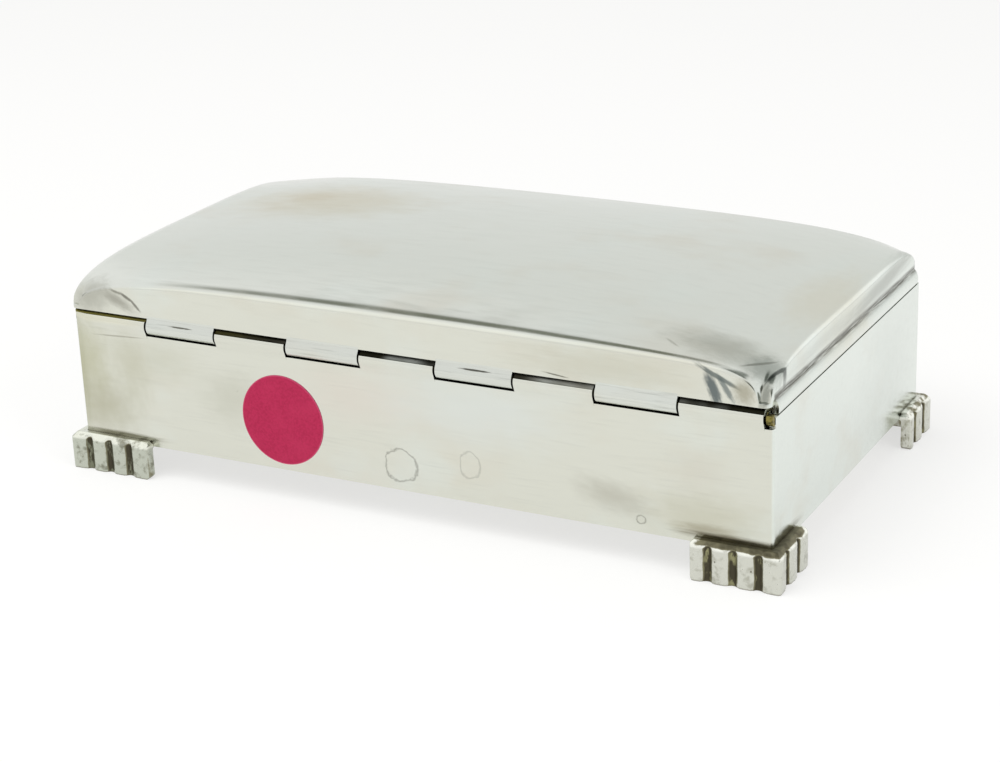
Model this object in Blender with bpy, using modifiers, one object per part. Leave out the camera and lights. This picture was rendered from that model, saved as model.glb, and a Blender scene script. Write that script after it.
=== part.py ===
"""Table cigarette box in silver plate, on four cast feet.

The case is a folded strip of sheet with a plate let into its foot and a cedar lining in two compartments.
The lid is a cushion-domed pressing with a rounded band under its front and ends. It turns on a pin through
nine tube knuckles, five on the case and four on the lid, let in flush behind the rear wall.

Metres, +Z up. The origin is on the table under the middle of the box. The box's length runs along X, the
front is at -Y and the hinge at +Y, so the left end, seen from the front, is at -X.
"""

import math

import bmesh
import bpy
from mathutils import Matrix, Vector

# Case
CASE_LENGTH = 0.160
CASE_WIDTH = 0.087
CASE_RAISE = 0.007
SEAM_RISE = 0.0274
SHEET = 0.0012
CASE_CORNER_RADIUS = 0.0008
CASE_CORNER_SEGMENTS = 3
BOTTOM_PLATE_THICKNESS = 0.0012

# Clearances
FIT_GAP = 0.0003
SEAM_GAP = 0.0003
OVERRUN = 0.002

# Hinge
KNUCKLE_COUNT = 9
KNUCKLE_RADIUS = 0.0020
KNUCKLE_BORE_RADIUS = 0.0012
KNUCKLE_CHAMFER = 0.00015
KNUCKLE_BULGE = 0.0008
PIN_RADIUS = 0.0009
BEARER_DEPTH = 0.0030
CASE_BEARER_DROP = 0.0054
LID_BEARER_RISE = 0.0040
LID_BEARER_SET_IN = 0.0080
BEARER_SOFTENING = 0.0004
ROUND_STEPS = 24
PIN_STEPS = 16

# Lid
CREASE_RISE = 0.0114
FRONT_CORNER_RISE = 0.0042
REAR_CORNER_RISE = 0.0030
CROWN_RISE = 0.0035
END_SAG = 0.0009
CREASE_ROLL = 0.0009
LID_CORNER_RADIUS = 0.0016
LONG_ARCH_SET_IN = 0.0022
SHORT_ARCH_SET_IN = 0.0010
LID_OFFSET = 0.0008
ROLL_STATION_SHARES = (0.0, 0.13, 0.5, 1.0)
STATION_GROWTH = 1.36
HOLLOW_STATION_GROWTH = 1.6
LONG_ARCH_POWER = 5.5
SHORT_ARCH_POWER = 4.4
ARCH_ROOT_SHARE = 0.4
CROWN_POWER = 2.2
ROLL_LIMIT_SHARE = 0.35

# Band under the lid's front and ends
BAND_HEIGHT = 0.0030
BAND_DEPTH = 0.0020
BAND_BULGE = 0.0008
BAND_LOWER_ROUND = 0.0005
BAND_UPPER_ROUND = 0.0013
BAND_ROUND_SEGMENTS = 3
BAND_STOP_SHARE = 0.7

# Feet
FOOT_PROUD = 0.0026
FOOT_THICKNESS = 0.0023
FOOT_LAP = 0.0013
FOOT_LONG_ARM = 0.0220
FOOT_SHORT_ARM = 0.0186
REAR_LEFT_TRIM = 0.0031
REAR_RIGHT_TRIM = 0.0014
FRONT_LEFT_SHORT_TRIM = 0.0055
FOOT_CORNER_RADIUS = 0.0011
FOOT_TOP_CHAMFER = 0.0010
FOOT_BASE_CHAMFER = 0.0004
FLUTE_RADIUS = 0.0010
FLUTE_STEPS = 16
FIRST_FLUTE = 0.0047
LONG_FLUTE_PITCH = 0.0052
LONG_FLUTE_COUNT = 3
SHORT_FLUTE_PITCH = 0.0058
SHORT_FLUTE_COUNT = 2
LEDGE_THICKNESS = 0.0015
LEDGE_REACH = 0.0040

# Cedar lining
CEDAR = 0.0030
CEDAR_FLOOR_THICKNESS = 0.0025
CEDAR_RIM_DROP = 0.0008
CEDAR_SOFTENING = 0.0004
CEDAR_SOFTENING_SEGMENTS = 2
DIVIDER_SLOT_DEPTH = 0.0010
DIVIDER_DROP = 0.0030

# Places that follow from the sizes above
HALF_LENGTH = CASE_LENGTH / 2
HALF_WIDTH = CASE_WIDTH / 2
INNER_HALF_LENGTH = HALF_LENGTH - SHEET
INNER_HALF_WIDTH = HALF_WIDTH - SHEET
SEAM_Z = CASE_RAISE + SEAM_RISE
CASE_TOP = SEAM_Z - SEAM_GAP / 2
LID_FOOT = SEAM_Z + SEAM_GAP / 2
HINGE_Y = HALF_WIDTH + KNUCKLE_BULGE - KNUCKLE_RADIUS
HINGE = Vector((0.0, HINGE_Y, SEAM_Z))
CHANNEL_RADIUS = KNUCKLE_RADIUS + FIT_GAP
APRON_FOOT = SEAM_Z + math.sqrt(CHANNEL_RADIUS ** 2 - (HALF_WIDTH - HINGE_Y) ** 2)
BAND_TOP = LID_FOOT + BAND_HEIGHT
BAND_STOP_Y = HINGE_Y - BAND_STOP_SHARE * CHANNEL_RADIUS
JOINT_HALF_LENGTH = INNER_HALF_LENGTH - FIT_GAP
KNUCKLE_PITCH = 2 * JOINT_HALF_LENGTH / KNUCKLE_COUNT
PLATE_TOP = CASE_RAISE + BOTTOM_PLATE_THICKNESS
FLOOR_BASE = PLATE_TOP + FIT_GAP
FLOOR_TOP = FLOOR_BASE + CEDAR_FLOOR_THICKNESS
BOARD_BASE = FLOOR_TOP + FIT_GAP
BOARD_TOP = CASE_TOP - CEDAR_RIM_DROP
CASE_BEARER_BASE = SEAM_Z - CASE_BEARER_DROP
REAR_BOARD_TOP = CASE_BEARER_BASE - FIT_GAP
LINING_HALF_LENGTH = INNER_HALF_LENGTH - FIT_GAP
LINING_HALF_WIDTH = INNER_HALF_WIDTH - FIT_GAP
COMPARTMENT_HALF_WIDTH = LINING_HALF_WIDTH - CEDAR


def make_collection(name):
    """A collection linked to the scene."""
    collection = bpy.data.collections.new(name)
    bpy.context.scene.collection.children.link(collection)
    return collection


def make_material(name, colour, roughness, metallic):
    """A Principled material of one colour."""
    material = bpy.data.materials.new(name)
    material.use_nodes = True
    shader = material.node_tree.nodes["Principled BSDF"]
    shader.inputs["Base Color"].default_value = (*colour, 1.0)
    shader.inputs["Roughness"].default_value = roughness
    shader.inputs["Metallic"].default_value = metallic
    return material


def object_from(shape, name, collection, location=(0.0, 0.0, 0.0)):
    """An object at the location that holds the bmesh, which is freed."""
    bmesh.ops.recalc_face_normals(shape, faces=shape.faces)
    mesh = bpy.data.meshes.new(name)
    shape.to_mesh(mesh)
    shape.free()
    piece = bpy.data.objects.new(name, mesh)
    piece.location = location
    collection.objects.link(piece)
    return piece


def box_between(low, high, name, collection):
    """A box from its lowest to its highest corner, with its origin at its middle."""
    low = Vector(low)
    high = Vector(high)
    shape = bmesh.new()
    bmesh.ops.create_cube(shape, size=1.0)
    bmesh.ops.scale(shape, vec=high - low, verts=shape.verts)
    return object_from(shape, name, collection, (low + high) / 2)


def rod_along_x(radius, half_length, steps, name, collection, middle):
    """A plain round rod that lies along X with its origin at its middle."""
    shape = bmesh.new()
    bmesh.ops.create_cone(
        shape, cap_ends=True, segments=steps, radius1=radius, radius2=radius, depth=2 * half_length)
    bmesh.ops.rotate(shape, verts=shape.verts, matrix=Matrix.Rotation(math.pi / 2, 3, "Y"))
    return object_from(shape, name, collection, middle)


def hide_cutter(piece):
    """Marks a cutter, which is a guide and no part of the box."""
    piece.hide_render = True
    piece.display_type = "WIRE"
    return piece


def cut(piece, cutter):
    """Takes the cutter's shape out of the piece."""
    modifier = piece.modifiers.new(cutter.name, "BOOLEAN")
    modifier.operation = "DIFFERENCE"
    modifier.object = cutter


def keep_within(piece, outline):
    """Keeps of the piece only what lies inside the outline."""
    modifier = piece.modifiers.new(outline.name, "BOOLEAN")
    modifier.operation = "INTERSECT"
    modifier.object = outline


def join(piece, other):
    """Adds the other shape to the piece as one body."""
    modifier = piece.modifiers.new(other.name, "BOOLEAN")
    modifier.operation = "UNION"
    modifier.object = other


def soften(piece, width, segments):
    """Rounds the sharp edges of a piece."""
    modifier = piece.modifiers.new("soft edges", "BEVEL")
    modifier.width = width
    modifier.segments = segments
    modifier.limit_method = "ANGLE"


def smooth(piece):
    """Shades the round faces smooth and keeps the sharp edges."""
    piece.data.shade_smooth()
    piece.data.set_sharp_from_angle(angle=math.radians(30))


def dress(piece, material):
    """Gives the piece its material."""
    piece.data.materials.append(material)
    return piece


def hang_on(piece, parent):
    """Parents the piece and keeps it where it stands."""
    piece.location = piece.location - parent.location
    piece.parent = parent


def make_hinge_cutters(cutters):
    """The long round channel of the joint, and its rear half that runs out through the corners."""
    channel = hide_cutter(rod_along_x(
        CHANNEL_RADIUS, INNER_HALF_LENGTH, ROUND_STEPS, "channel_cutter", cutters, HINGE))
    through = hide_cutter(rod_along_x(
        CHANNEL_RADIUS, HALF_LENGTH + OVERRUN, ROUND_STEPS, "through_channel_cutter", cutters, HINGE))
    corner = hide_cutter(rod_along_x(
        CHANNEL_RADIUS, HALF_LENGTH + OVERRUN, ROUND_STEPS, "corner_channel_cutter", cutters, HINGE))
    shape = bmesh.new()
    shape.from_mesh(corner.data)
    cut_faces = bmesh.ops.bisect_plane(
        shape, geom=shape.verts[:] + shape.edges[:] + shape.faces[:],
        plane_co=(0.0, 0.0, 0.0), plane_no=(0.0, 1.0, 0.0), clear_inner=True)
    rim = [item for item in cut_faces["geom_cut"] if isinstance(item, bmesh.types.BMEdge)]
    bmesh.ops.contextual_create(shape, geom=rim)
    bmesh.ops.recalc_face_normals(shape, faces=shape.faces)
    shape.to_mesh(corner.data)
    shape.free()
    return channel, through, corner


def case_block(name, top, collection):
    """A block of the case's outline, with its rounded upright corners, up to a height."""
    low = Vector((-HALF_LENGTH, -HALF_WIDTH, CASE_RAISE))
    high = Vector((HALF_LENGTH, HALF_WIDTH, top))
    shape = bmesh.new()
    bmesh.ops.create_cube(shape, size=1.0)
    bmesh.ops.scale(shape, vec=high - low, verts=shape.verts)
    upright = [edge for edge in shape.edges if abs(edge.verts[0].co.z - edge.verts[1].co.z) > SHEET]
    bmesh.ops.bevel(
        shape, geom=upright, offset=CASE_CORNER_RADIUS, segments=CASE_CORNER_SEGMENTS,
        profile=0.5, affect="EDGES")
    return object_from(shape, name, collection, (low + high) / 2)


def make_case_band(parts, cutters, channel, corner_channel):
    """The four walls: one strip with rounded upright corners, let away behind for the joint."""
    band = case_block("case_band", CASE_TOP, parts)
    inside = hide_cutter(box_between(
        (-INNER_HALF_LENGTH, -INNER_HALF_WIDTH, CASE_RAISE - OVERRUN),
        (INNER_HALF_LENGTH, INNER_HALF_WIDTH, CASE_TOP + OVERRUN),
        "case_inside_cutter", cutters))
    cut(band, inside)
    cut(band, channel)
    cut(band, corner_channel)
    return band


def make_knuckle(name, index, collection):
    """One tube knuckle: a ring profile turned about the joint's line."""
    half = KNUCKLE_PITCH / 2 - FIT_GAP / 2
    outline = (
        (KNUCKLE_RADIUS - KNUCKLE_CHAMFER, half),
        (KNUCKLE_RADIUS, half - KNUCKLE_CHAMFER),
        (KNUCKLE_RADIUS, KNUCKLE_CHAMFER - half),
        (KNUCKLE_RADIUS - KNUCKLE_CHAMFER, -half),
        (KNUCKLE_BORE_RADIUS, -half),
        (KNUCKLE_BORE_RADIUS, half),
    )
    shape = bmesh.new()
    corners = [shape.verts.new((radius, 0.0, along)) for radius, along in outline]
    for first, second in zip(corners, corners[1:] + corners[:1]):
        shape.edges.new((first, second))
    mesh = bpy.data.meshes.new(name)
    shape.to_mesh(mesh)
    shape.free()
    knuckle = bpy.data.objects.new(name, mesh)
    knuckle.rotation_euler = (0.0, math.pi / 2, 0.0)
    offset = (index - (KNUCKLE_COUNT - 1) / 2) * KNUCKLE_PITCH
    knuckle.location = HINGE + Vector((offset, 0.0, 0.0))
    collection.objects.link(knuckle)
    screw = knuckle.modifiers.new("turned", "SCREW")
    screw.axis = "Z"
    screw.steps = ROUND_STEPS
    screw.render_steps = ROUND_STEPS
    screw.use_merge_vertices = True
    screw.merge_threshold = KNUCKLE_CHAMFER / 10
    screw.use_normal_calculate = True
    return knuckle


def make_pin(parts):
    """The brass wire that runs through all the knuckles and stops short of the end walls."""
    return rod_along_x(PIN_RADIUS, JOINT_HALF_LENGTH - FIT_GAP / 2, PIN_STEPS, "hinge_pin", parts, HINGE)


def make_joint_filler(name, side, parts, cutters, case_outline):
    """The round-backed filler that closes the joint's line, flush with the corner of the case."""
    inner = JOINT_HALF_LENGTH + FIT_GAP / 2
    middle = Vector((side * (inner + HALF_LENGTH) / 2, HINGE_Y, SEAM_Z))
    half = (HALF_LENGTH - inner) / 2 + OVERRUN
    filler = rod_along_x(
        KNUCKLE_RADIUS, half, ROUND_STEPS, name, parts, middle + Vector((side * OVERRUN, 0.0, 0.0)))
    front_half = hide_cutter(box_between(
        middle - Vector((2 * half, KNUCKLE_RADIUS + OVERRUN, KNUCKLE_RADIUS + OVERRUN)),
        middle + Vector((2 * half, FIT_GAP, KNUCKLE_RADIUS + OVERRUN)),
        name + "_cutter", cutters))
    cut(filler, front_half)
    keep_within(filler, case_outline)
    return filler


def make_bearer(name, half_length, base, top, parts, channel):
    """A channelled strip behind the joint, on which its knuckles are soldered."""
    rear = INNER_HALF_WIDTH - FIT_GAP
    bearer = box_between((-half_length, rear - BEARER_DEPTH, base), (half_length, rear, top), name, parts)
    soften(bearer, BEARER_SOFTENING, 1)
    cut(bearer, channel)
    return bearer


def stations(half, roll, growth):
    """Places across the lid from edge to edge, close together where the sheet turns down."""
    depths = [share * roll for share in ROLL_STATION_SHARES]
    depth = depths[-1] * growth
    while depth < half * (1 - 1 / STATION_GROWTH / 2):
        depths.append(depth)
        depth *= growth
    falling = [depth - half for depth in depths]
    return falling + [0.0] + [-place for place in reversed(falling)]


def roll_drop(depth, radius):
    """How far a quarter-round edge has fallen at a depth in from the side."""
    if depth >= radius:
        return 0.0
    return radius - math.sqrt(radius ** 2 - (radius - depth) ** 2)


def cushion_height(x, y, half_length, half_width, roll):
    """The top of the lid: four arched edges, pinched down at the corners, under a low crown."""
    u = abs(x) / half_length
    v = abs(y) / half_width
    arch_u = min(abs(x) / (half_length - LONG_ARCH_SET_IN), 1.0)
    arch_v = min(abs(y) / (half_width - SHORT_ARCH_SET_IN), 1.0)
    toward_rear = (1 + y / half_width) / 2
    corner = SEAM_Z + FRONT_CORNER_RISE + (REAR_CORNER_RISE - FRONT_CORNER_RISE) * toward_rear
    arch = (1 - arch_u ** LONG_ARCH_POWER * arch_v ** SHORT_ARCH_POWER) ** ARCH_ROOT_SHARE
    crown = CROWN_RISE * (1 - u ** CROWN_POWER) * (1 - v ** CROWN_POWER)
    height = corner + (SEAM_Z + CREASE_RISE - corner) * arch + crown - END_SAG * u ** 2 * arch
    limit = min(roll, ROLL_LIMIT_SHARE * (height - APRON_FOOT))
    fallen = max(roll_drop(half_length - abs(x), roll), roll_drop(half_width - abs(y), roll))
    return height - fallen * limit / roll


def round_corner(x, y, half_length, half_width, radius):
    """Moves a place in the corner square onto the rounded corner."""
    over_x = abs(x) - (half_length - radius)
    over_y = abs(y) - (half_width - radius)
    if over_x <= 0 or over_y <= 0:
        return x, y
    pull = max(over_x, over_y) / math.hypot(over_x, over_y)
    moved_x = half_length - radius + over_x * pull
    moved_y = half_width - radius + over_y * pull
    return math.copysign(moved_x, x), math.copysign(moved_y, y)


def make_cushion(name, collection, inset, foot, corner_radius, growth):
    """A solid cushion: a grid raised to the lid's top, its rim drawn down to the foot and closed."""
    half_length = HALF_LENGTH - inset
    half_width = HALF_WIDTH - inset
    across = stations(half_length, CREASE_ROLL, growth)
    along = stations(half_width, CREASE_ROLL, growth)
    shape = bmesh.new()
    bmesh.ops.create_grid(shape, x_segments=len(across) - 1, y_segments=len(along) - 1, size=1.0)
    for vert in shape.verts:
        x = across[round((vert.co.x + 1) / 2 * (len(across) - 1))]
        y = along[round((vert.co.y + 1) / 2 * (len(along) - 1))]
        height = cushion_height(x, y, half_length, half_width, CREASE_ROLL) - inset
        vert.co = (*round_corner(x, y, half_length, half_width, corner_radius), height)
    rim = [edge for edge in shape.edges if edge.is_boundary]
    drawn = bmesh.ops.extrude_edge_only(shape, edges=rim)["geom"]
    for vert in drawn:
        if isinstance(vert, bmesh.types.BMVert):
            vert.co.z = foot
    base = [edge for edge in drawn if isinstance(edge, bmesh.types.BMEdge)]
    bmesh.ops.contextual_create(shape, geom=base)
    return object_from(shape, name, collection, (LID_OFFSET, 0.0, 0.0))


def make_lid_shell(parts, cutters, through_channel):
    """The lid's pressing: a cushion with the same cushion, one sheet smaller, taken out from below."""
    shell = make_cushion("lid_shell", parts, 0.0, LID_FOOT, LID_CORNER_RADIUS, STATION_GROWTH)
    hollow = hide_cutter(make_cushion(
        "lid_hollow_cutter", cutters, SHEET, LID_FOOT - OVERRUN, 0.0, HOLLOW_STATION_GROWTH))
    cut(shell, hollow)
    band_room = hide_cutter(box_between(
        (-HALF_LENGTH - OVERRUN, -HALF_WIDTH - OVERRUN, LID_FOOT - OVERRUN),
        (HALF_LENGTH + OVERRUN, BAND_STOP_Y + FIT_GAP, BAND_TOP + FIT_GAP),
        "band_room_cutter", cutters))
    cut(shell, band_room)
    cut(shell, through_channel)
    return shell


def make_lid_base_band(parts, cutters, through_channel):
    """The rounded wire under the lid's front and ends, bent into a U and stopped at the joint."""
    half_length = HALF_LENGTH + BAND_BULGE
    half_width = HALF_WIDTH + BAND_BULGE
    low = Vector((LID_OFFSET - half_length, -half_width, LID_FOOT))
    high = Vector((LID_OFFSET + half_length, BAND_STOP_Y, BAND_TOP))
    shape = bmesh.new()
    bmesh.ops.create_cube(shape, size=1.0)
    bmesh.ops.scale(shape, vec=high - low, verts=shape.verts)
    half_height = BAND_HEIGHT / 2
    rear = (high.y - low.y) / 2

    def level_edges(side):
        """The outer edges at the top (side 1) or the foot (side -1), leaving out the open rear."""
        return [
            edge for edge in shape.edges
            if all(abs(vert.co.z - side * half_height) < FIT_GAP for vert in edge.verts)
            and not all(abs(vert.co.y - rear) < FIT_GAP for vert in edge.verts)]

    upright = [edge for edge in shape.edges if abs(edge.verts[0].co.z - edge.verts[1].co.z) > half_height
               and edge.verts[0].co.y < 0]
    bmesh.ops.bevel(
        shape, geom=upright, offset=LID_CORNER_RADIUS + BAND_BULGE, segments=BAND_ROUND_SEGMENTS,
        profile=0.5, affect="EDGES")
    bmesh.ops.bevel(
        shape, geom=level_edges(1), offset=BAND_UPPER_ROUND, segments=BAND_ROUND_SEGMENTS,
        profile=0.5, affect="EDGES")
    bmesh.ops.bevel(
        shape, geom=level_edges(-1), offset=BAND_LOWER_ROUND, segments=BAND_ROUND_SEGMENTS,
        profile=0.5, affect="EDGES")
    band = object_from(shape, "lid_base_band", parts, (low + high) / 2)
    inside = hide_cutter(box_between(
        (low.x + BAND_DEPTH, low.y + BAND_DEPTH, LID_FOOT - OVERRUN),
        (high.x - BAND_DEPTH, high.y + OVERRUN, BAND_TOP + OVERRUN),
        "band_inside_cutter", cutters))
    cut(band, inside)
    cut(band, through_channel)
    return band


def outline_solid(points, base, top, name, collection):
    """A flat outline raised from its base to its top."""
    curve = bpy.data.curves.new(name, "CURVE")
    curve.dimensions = "2D"
    curve.fill_mode = "BOTH"
    curve.extrude = (top - base) / 2
    spline = curve.splines.new("POLY")
    spline.points.add(len(points) - 1)
    for point, (x, y) in zip(spline.points, points):
        point.co = (x, y, 0.0, 1.0)
    spline.use_cyclic_u = True
    guide = bpy.data.objects.new(name + "_outline", curve)
    collection.objects.link(guide)
    bpy.context.view_layer.update()
    mesh = bpy.data.meshes.new_from_object(guide.evaluated_get(bpy.context.evaluated_depsgraph_get()))
    shape = bmesh.new()
    shape.from_mesh(mesh)
    bmesh.ops.remove_doubles(shape, verts=shape.verts, dist=KNUCKLE_CHAMFER / 10)
    bmesh.ops.dissolve_limit(
        shape, angle_limit=math.radians(1), verts=shape.verts, edges=shape.edges)
    bpy.data.objects.remove(guide)
    bpy.data.meshes.remove(mesh)
    return object_from(shape, name, collection, (0.0, 0.0, (base + top) / 2))


def foot_outline(long_arm, short_arm, thickness, set_in, corner_radius):
    """An angle with its outer corner near the origin and its arms along +X and +Y."""
    points = []
    for step in range(CASE_CORNER_SEGMENTS + 1):
        turn = math.pi + math.pi / 2 * step / CASE_CORNER_SEGMENTS
        points.append((
            set_in + corner_radius * (1 + math.cos(turn)),
            set_in + corner_radius * (1 + math.sin(turn))))
    inner = set_in + thickness
    return points + [
        (long_arm, set_in), (long_arm, inner), (inner, inner), (inner, short_arm), (set_in, short_arm)]


def make_foot(name, side_x, side_y, long_arm, short_arm, parts, cutters):
    """A cast angle foot: a fluted plate that stands proud of the walls, on a ledge under the case."""
    top = CASE_RAISE + FOOT_LAP
    foot = outline_solid(
        foot_outline(long_arm, short_arm, FOOT_THICKNESS, 0.0, FOOT_CORNER_RADIUS), 0.0, top, name, parts)
    half_height = top / 2

    def outer_edges(level):
        """The outline's edges at a level, on the two outer faces and round their corner."""
        edges = []
        for edge in shape.edges:
            at_level = all(abs(vert.co.z - level) < FIT_GAP for vert in edge.verts)
            outside = all(
                min(vert.co.x, vert.co.y) < FOOT_CORNER_RADIUS - FIT_GAP
                and (vert.co.x < FIT_GAP or vert.co.y < FIT_GAP
                     or max(vert.co.x, vert.co.y) < FOOT_CORNER_RADIUS)
                for vert in edge.verts)
            if at_level and outside:
                edges.append(edge)
        return edges

    shape = bmesh.new()
    shape.from_mesh(foot.data)
    bmesh.ops.bevel(
        shape, geom=outer_edges(half_height), offset=FOOT_TOP_CHAMFER, segments=2, profile=0.5,
        affect="EDGES")
    bmesh.ops.bevel(
        shape, geom=outer_edges(-half_height), offset=FOOT_BASE_CHAMFER, segments=1, profile=0.5,
        affect="EDGES")
    shape.to_mesh(foot.data)
    shape.free()

    ledge_top = CASE_RAISE - FIT_GAP
    ledge = hide_cutter(outline_solid(
        foot_outline(
            long_arm, short_arm, FOOT_PROUD + LEDGE_REACH - FOOT_THICKNESS + FIT_GAP,
            FOOT_THICKNESS - FIT_GAP, FOOT_CORNER_RADIUS),
        ledge_top - LEDGE_THICKNESS, ledge_top, name + "_ledge", cutters))
    flutes = bmesh.new()
    runs = ((LONG_FLUTE_COUNT, LONG_FLUTE_PITCH, Vector((1.0, 0.0, 0.0))),
            (SHORT_FLUTE_COUNT, SHORT_FLUTE_PITCH, Vector((0.0, 1.0, 0.0))))
    for count, pitch, direction in runs:
        for index in range(count):
            middle = direction * (FIRST_FLUTE + index * pitch) + Vector((0.0, 0.0, half_height))
            bmesh.ops.create_cone(
                flutes, cap_ends=True, segments=FLUTE_STEPS, radius1=FLUTE_RADIUS, radius2=FLUTE_RADIUS,
                depth=top + 2 * OVERRUN, matrix=Matrix.Translation(middle))
    flute_cutter = hide_cutter(object_from(flutes, name + "_flutes", cutters))
    join(foot, ledge)
    cut(foot, flute_cutter)

    corner = Vector((side_x * (HALF_LENGTH + FOOT_PROUD), side_y * (HALF_WIDTH + FOOT_PROUD), 0.0))
    for piece in (foot, ledge, flute_cutter):
        turned = Matrix.Diagonal((-side_x, -side_y, 1.0, 1.0))
        piece.data.transform(turned)
        if side_x * side_y < 0:
            piece.data.flip_normals()
        piece.location = piece.location + corner
    return foot


def make_board(name, low, high, parts):
    """A cedar board with softened edges."""
    board = box_between(low, high, name, parts)
    soften(board, CEDAR_SOFTENING, CEDAR_SOFTENING_SEGMENTS)
    return board


def make_lining(parts, cutters):
    """The cedar lining: a floor, four boards on it and a divider slotted into the long boards."""
    end_room = LINING_HALF_LENGTH - CEDAR - FIT_GAP
    boards = [
        make_board(
            "cedar_floor",
            (-LINING_HALF_LENGTH, -LINING_HALF_WIDTH, FLOOR_BASE),
            (LINING_HALF_LENGTH, LINING_HALF_WIDTH, FLOOR_TOP), parts),
        make_board(
            "cedar_left_board",
            (-LINING_HALF_LENGTH, -LINING_HALF_WIDTH, BOARD_BASE),
            (CEDAR - LINING_HALF_LENGTH, COMPARTMENT_HALF_WIDTH - FIT_GAP, BOARD_TOP), parts),
        make_board(
            "cedar_right_board",
            (LINING_HALF_LENGTH - CEDAR, -LINING_HALF_WIDTH, BOARD_BASE),
            (LINING_HALF_LENGTH, COMPARTMENT_HALF_WIDTH - FIT_GAP, BOARD_TOP), parts),
    ]
    front = make_board(
        "cedar_front_board",
        (-end_room, -LINING_HALF_WIDTH, BOARD_BASE),
        (end_room, -COMPARTMENT_HALF_WIDTH, BOARD_TOP), parts)
    rear = make_board(
        "cedar_rear_board",
        (-LINING_HALF_LENGTH, COMPARTMENT_HALF_WIDTH, BOARD_BASE),
        (LINING_HALF_LENGTH, LINING_HALF_WIDTH, REAR_BOARD_TOP), parts)
    slot_half_width = CEDAR / 2 + FIT_GAP
    slot_reach = COMPARTMENT_HALF_WIDTH + DIVIDER_SLOT_DEPTH
    slot = hide_cutter(box_between(
        (-slot_half_width, -slot_reach, BOARD_BASE - OVERRUN),
        (slot_half_width, slot_reach, BOARD_TOP + OVERRUN), "divider_slot_cutter", cutters))
    cut(front, slot)
    cut(rear, slot)
    divider_reach = slot_reach - FIT_GAP
    divider = make_board(
        "cedar_divider",
        (-CEDAR / 2, -divider_reach, BOARD_BASE),
        (CEDAR / 2, divider_reach, REAR_BOARD_TOP - DIVIDER_DROP), parts)
    return boards + [front, rear, divider]


def main():
    """Clears the scene and builds the box."""
    for old in list(bpy.data.objects):
        bpy.data.objects.remove(old)

    parts = make_collection("cigarette_box")
    cutters = make_collection("cutters")
    silver = make_material("silver_plate", (0.82, 0.82, 0.78), 0.16, 1.0)
    cast_silver = make_material("cast_silver_plate", (0.74, 0.74, 0.70), 0.26, 1.0)
    brass = make_material("brass", (0.56, 0.46, 0.18), 0.35, 1.0)
    cedar = make_material("cedar", (0.44, 0.20, 0.09), 0.60, 0.0)

    channel, through_channel, corner_channel = make_hinge_cutters(cutters)

    dress(make_case_band(parts, cutters, channel, corner_channel), silver)
    dress(box_between(
        (-LINING_HALF_LENGTH, -LINING_HALF_WIDTH, CASE_RAISE),
        (LINING_HALF_LENGTH, LINING_HALF_WIDTH, PLATE_TOP), "bottom_plate", parts), silver)
    dress(make_bearer(
        "case_hinge_bearer", LINING_HALF_LENGTH, CASE_BEARER_BASE, CASE_TOP, parts, channel), silver)
    dress(make_pin(parts), brass)
    case_outline = hide_cutter(case_block("case_outline_cutter", CASE_TOP + CHANNEL_RADIUS, cutters))
    dress(make_joint_filler("left_joint_filler", -1, parts, cutters, case_outline), brass)
    dress(make_joint_filler("right_joint_filler", 1, parts, cutters, case_outline), silver)

    feet = (
        ("rear_left_foot", -1, 1, REAR_LEFT_TRIM, REAR_LEFT_TRIM),
        ("rear_right_foot", 1, 1, REAR_RIGHT_TRIM, REAR_RIGHT_TRIM),
        ("front_left_foot", -1, -1, REAR_RIGHT_TRIM, FRONT_LEFT_SHORT_TRIM),
        ("front_right_foot", 1, -1, 0.0, 0.0),
    )
    for name, side_x, side_y, long_trim, short_trim in feet:
        foot = make_foot(
            name, side_x, side_y, FOOT_LONG_ARM - long_trim, FOOT_SHORT_ARM - short_trim, parts, cutters)
        dress(foot, cast_silver)

    for board in make_lining(parts, cutters):
        dress(board, cedar)

    lid_axis = bpy.data.objects.new("lid_axis", None)
    lid_axis.location = HINGE
    parts.objects.link(lid_axis)
    lid_pieces = [
        make_lid_shell(parts, cutters, through_channel),
        make_lid_base_band(parts, cutters, through_channel),
        make_bearer(
            "lid_hinge_bearer", HALF_LENGTH - LID_BEARER_SET_IN, LID_FOOT,
            SEAM_Z + LID_BEARER_RISE, parts, channel),
    ]
    for index in range(KNUCKLE_COUNT):
        on_case = index % 2 == 0
        number = index // 2 + 1
        name = f"body_knuckle_{number}" if on_case else f"lid_knuckle_{number}"
        knuckle = make_knuckle(name, index, parts)
        if on_case:
            dress(knuckle, silver)
        else:
            lid_pieces.append(knuckle)
    for piece in lid_pieces:
        dress(piece, silver)
        hang_on(piece, lid_axis)
    for piece in parts.objects:
        if piece.type == "MESH":
            smooth(piece)


main()
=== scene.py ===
"""Looks for the silver-plated cigarette box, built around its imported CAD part.

The polished pieces are rebuilt here with round edges and fine facets, in the sizes of the CAD nodes that they
stand for: the walls, the lid and its moulding, the knuckles, the fillers of the joint and the cast feet. The
cedar lining, the bottom plate, the bearers and the pin are the CAD nodes themselves with finer materials.

Metres, +Z up, the hinge at +Y. Left and right are as seen from the front, so the left end is at -X.
"""

import logging
import math
from dataclasses import dataclass, field
from enum import Enum
from typing import Any

import bmesh
import bpy
from mathutils import Matrix, Vector


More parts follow.
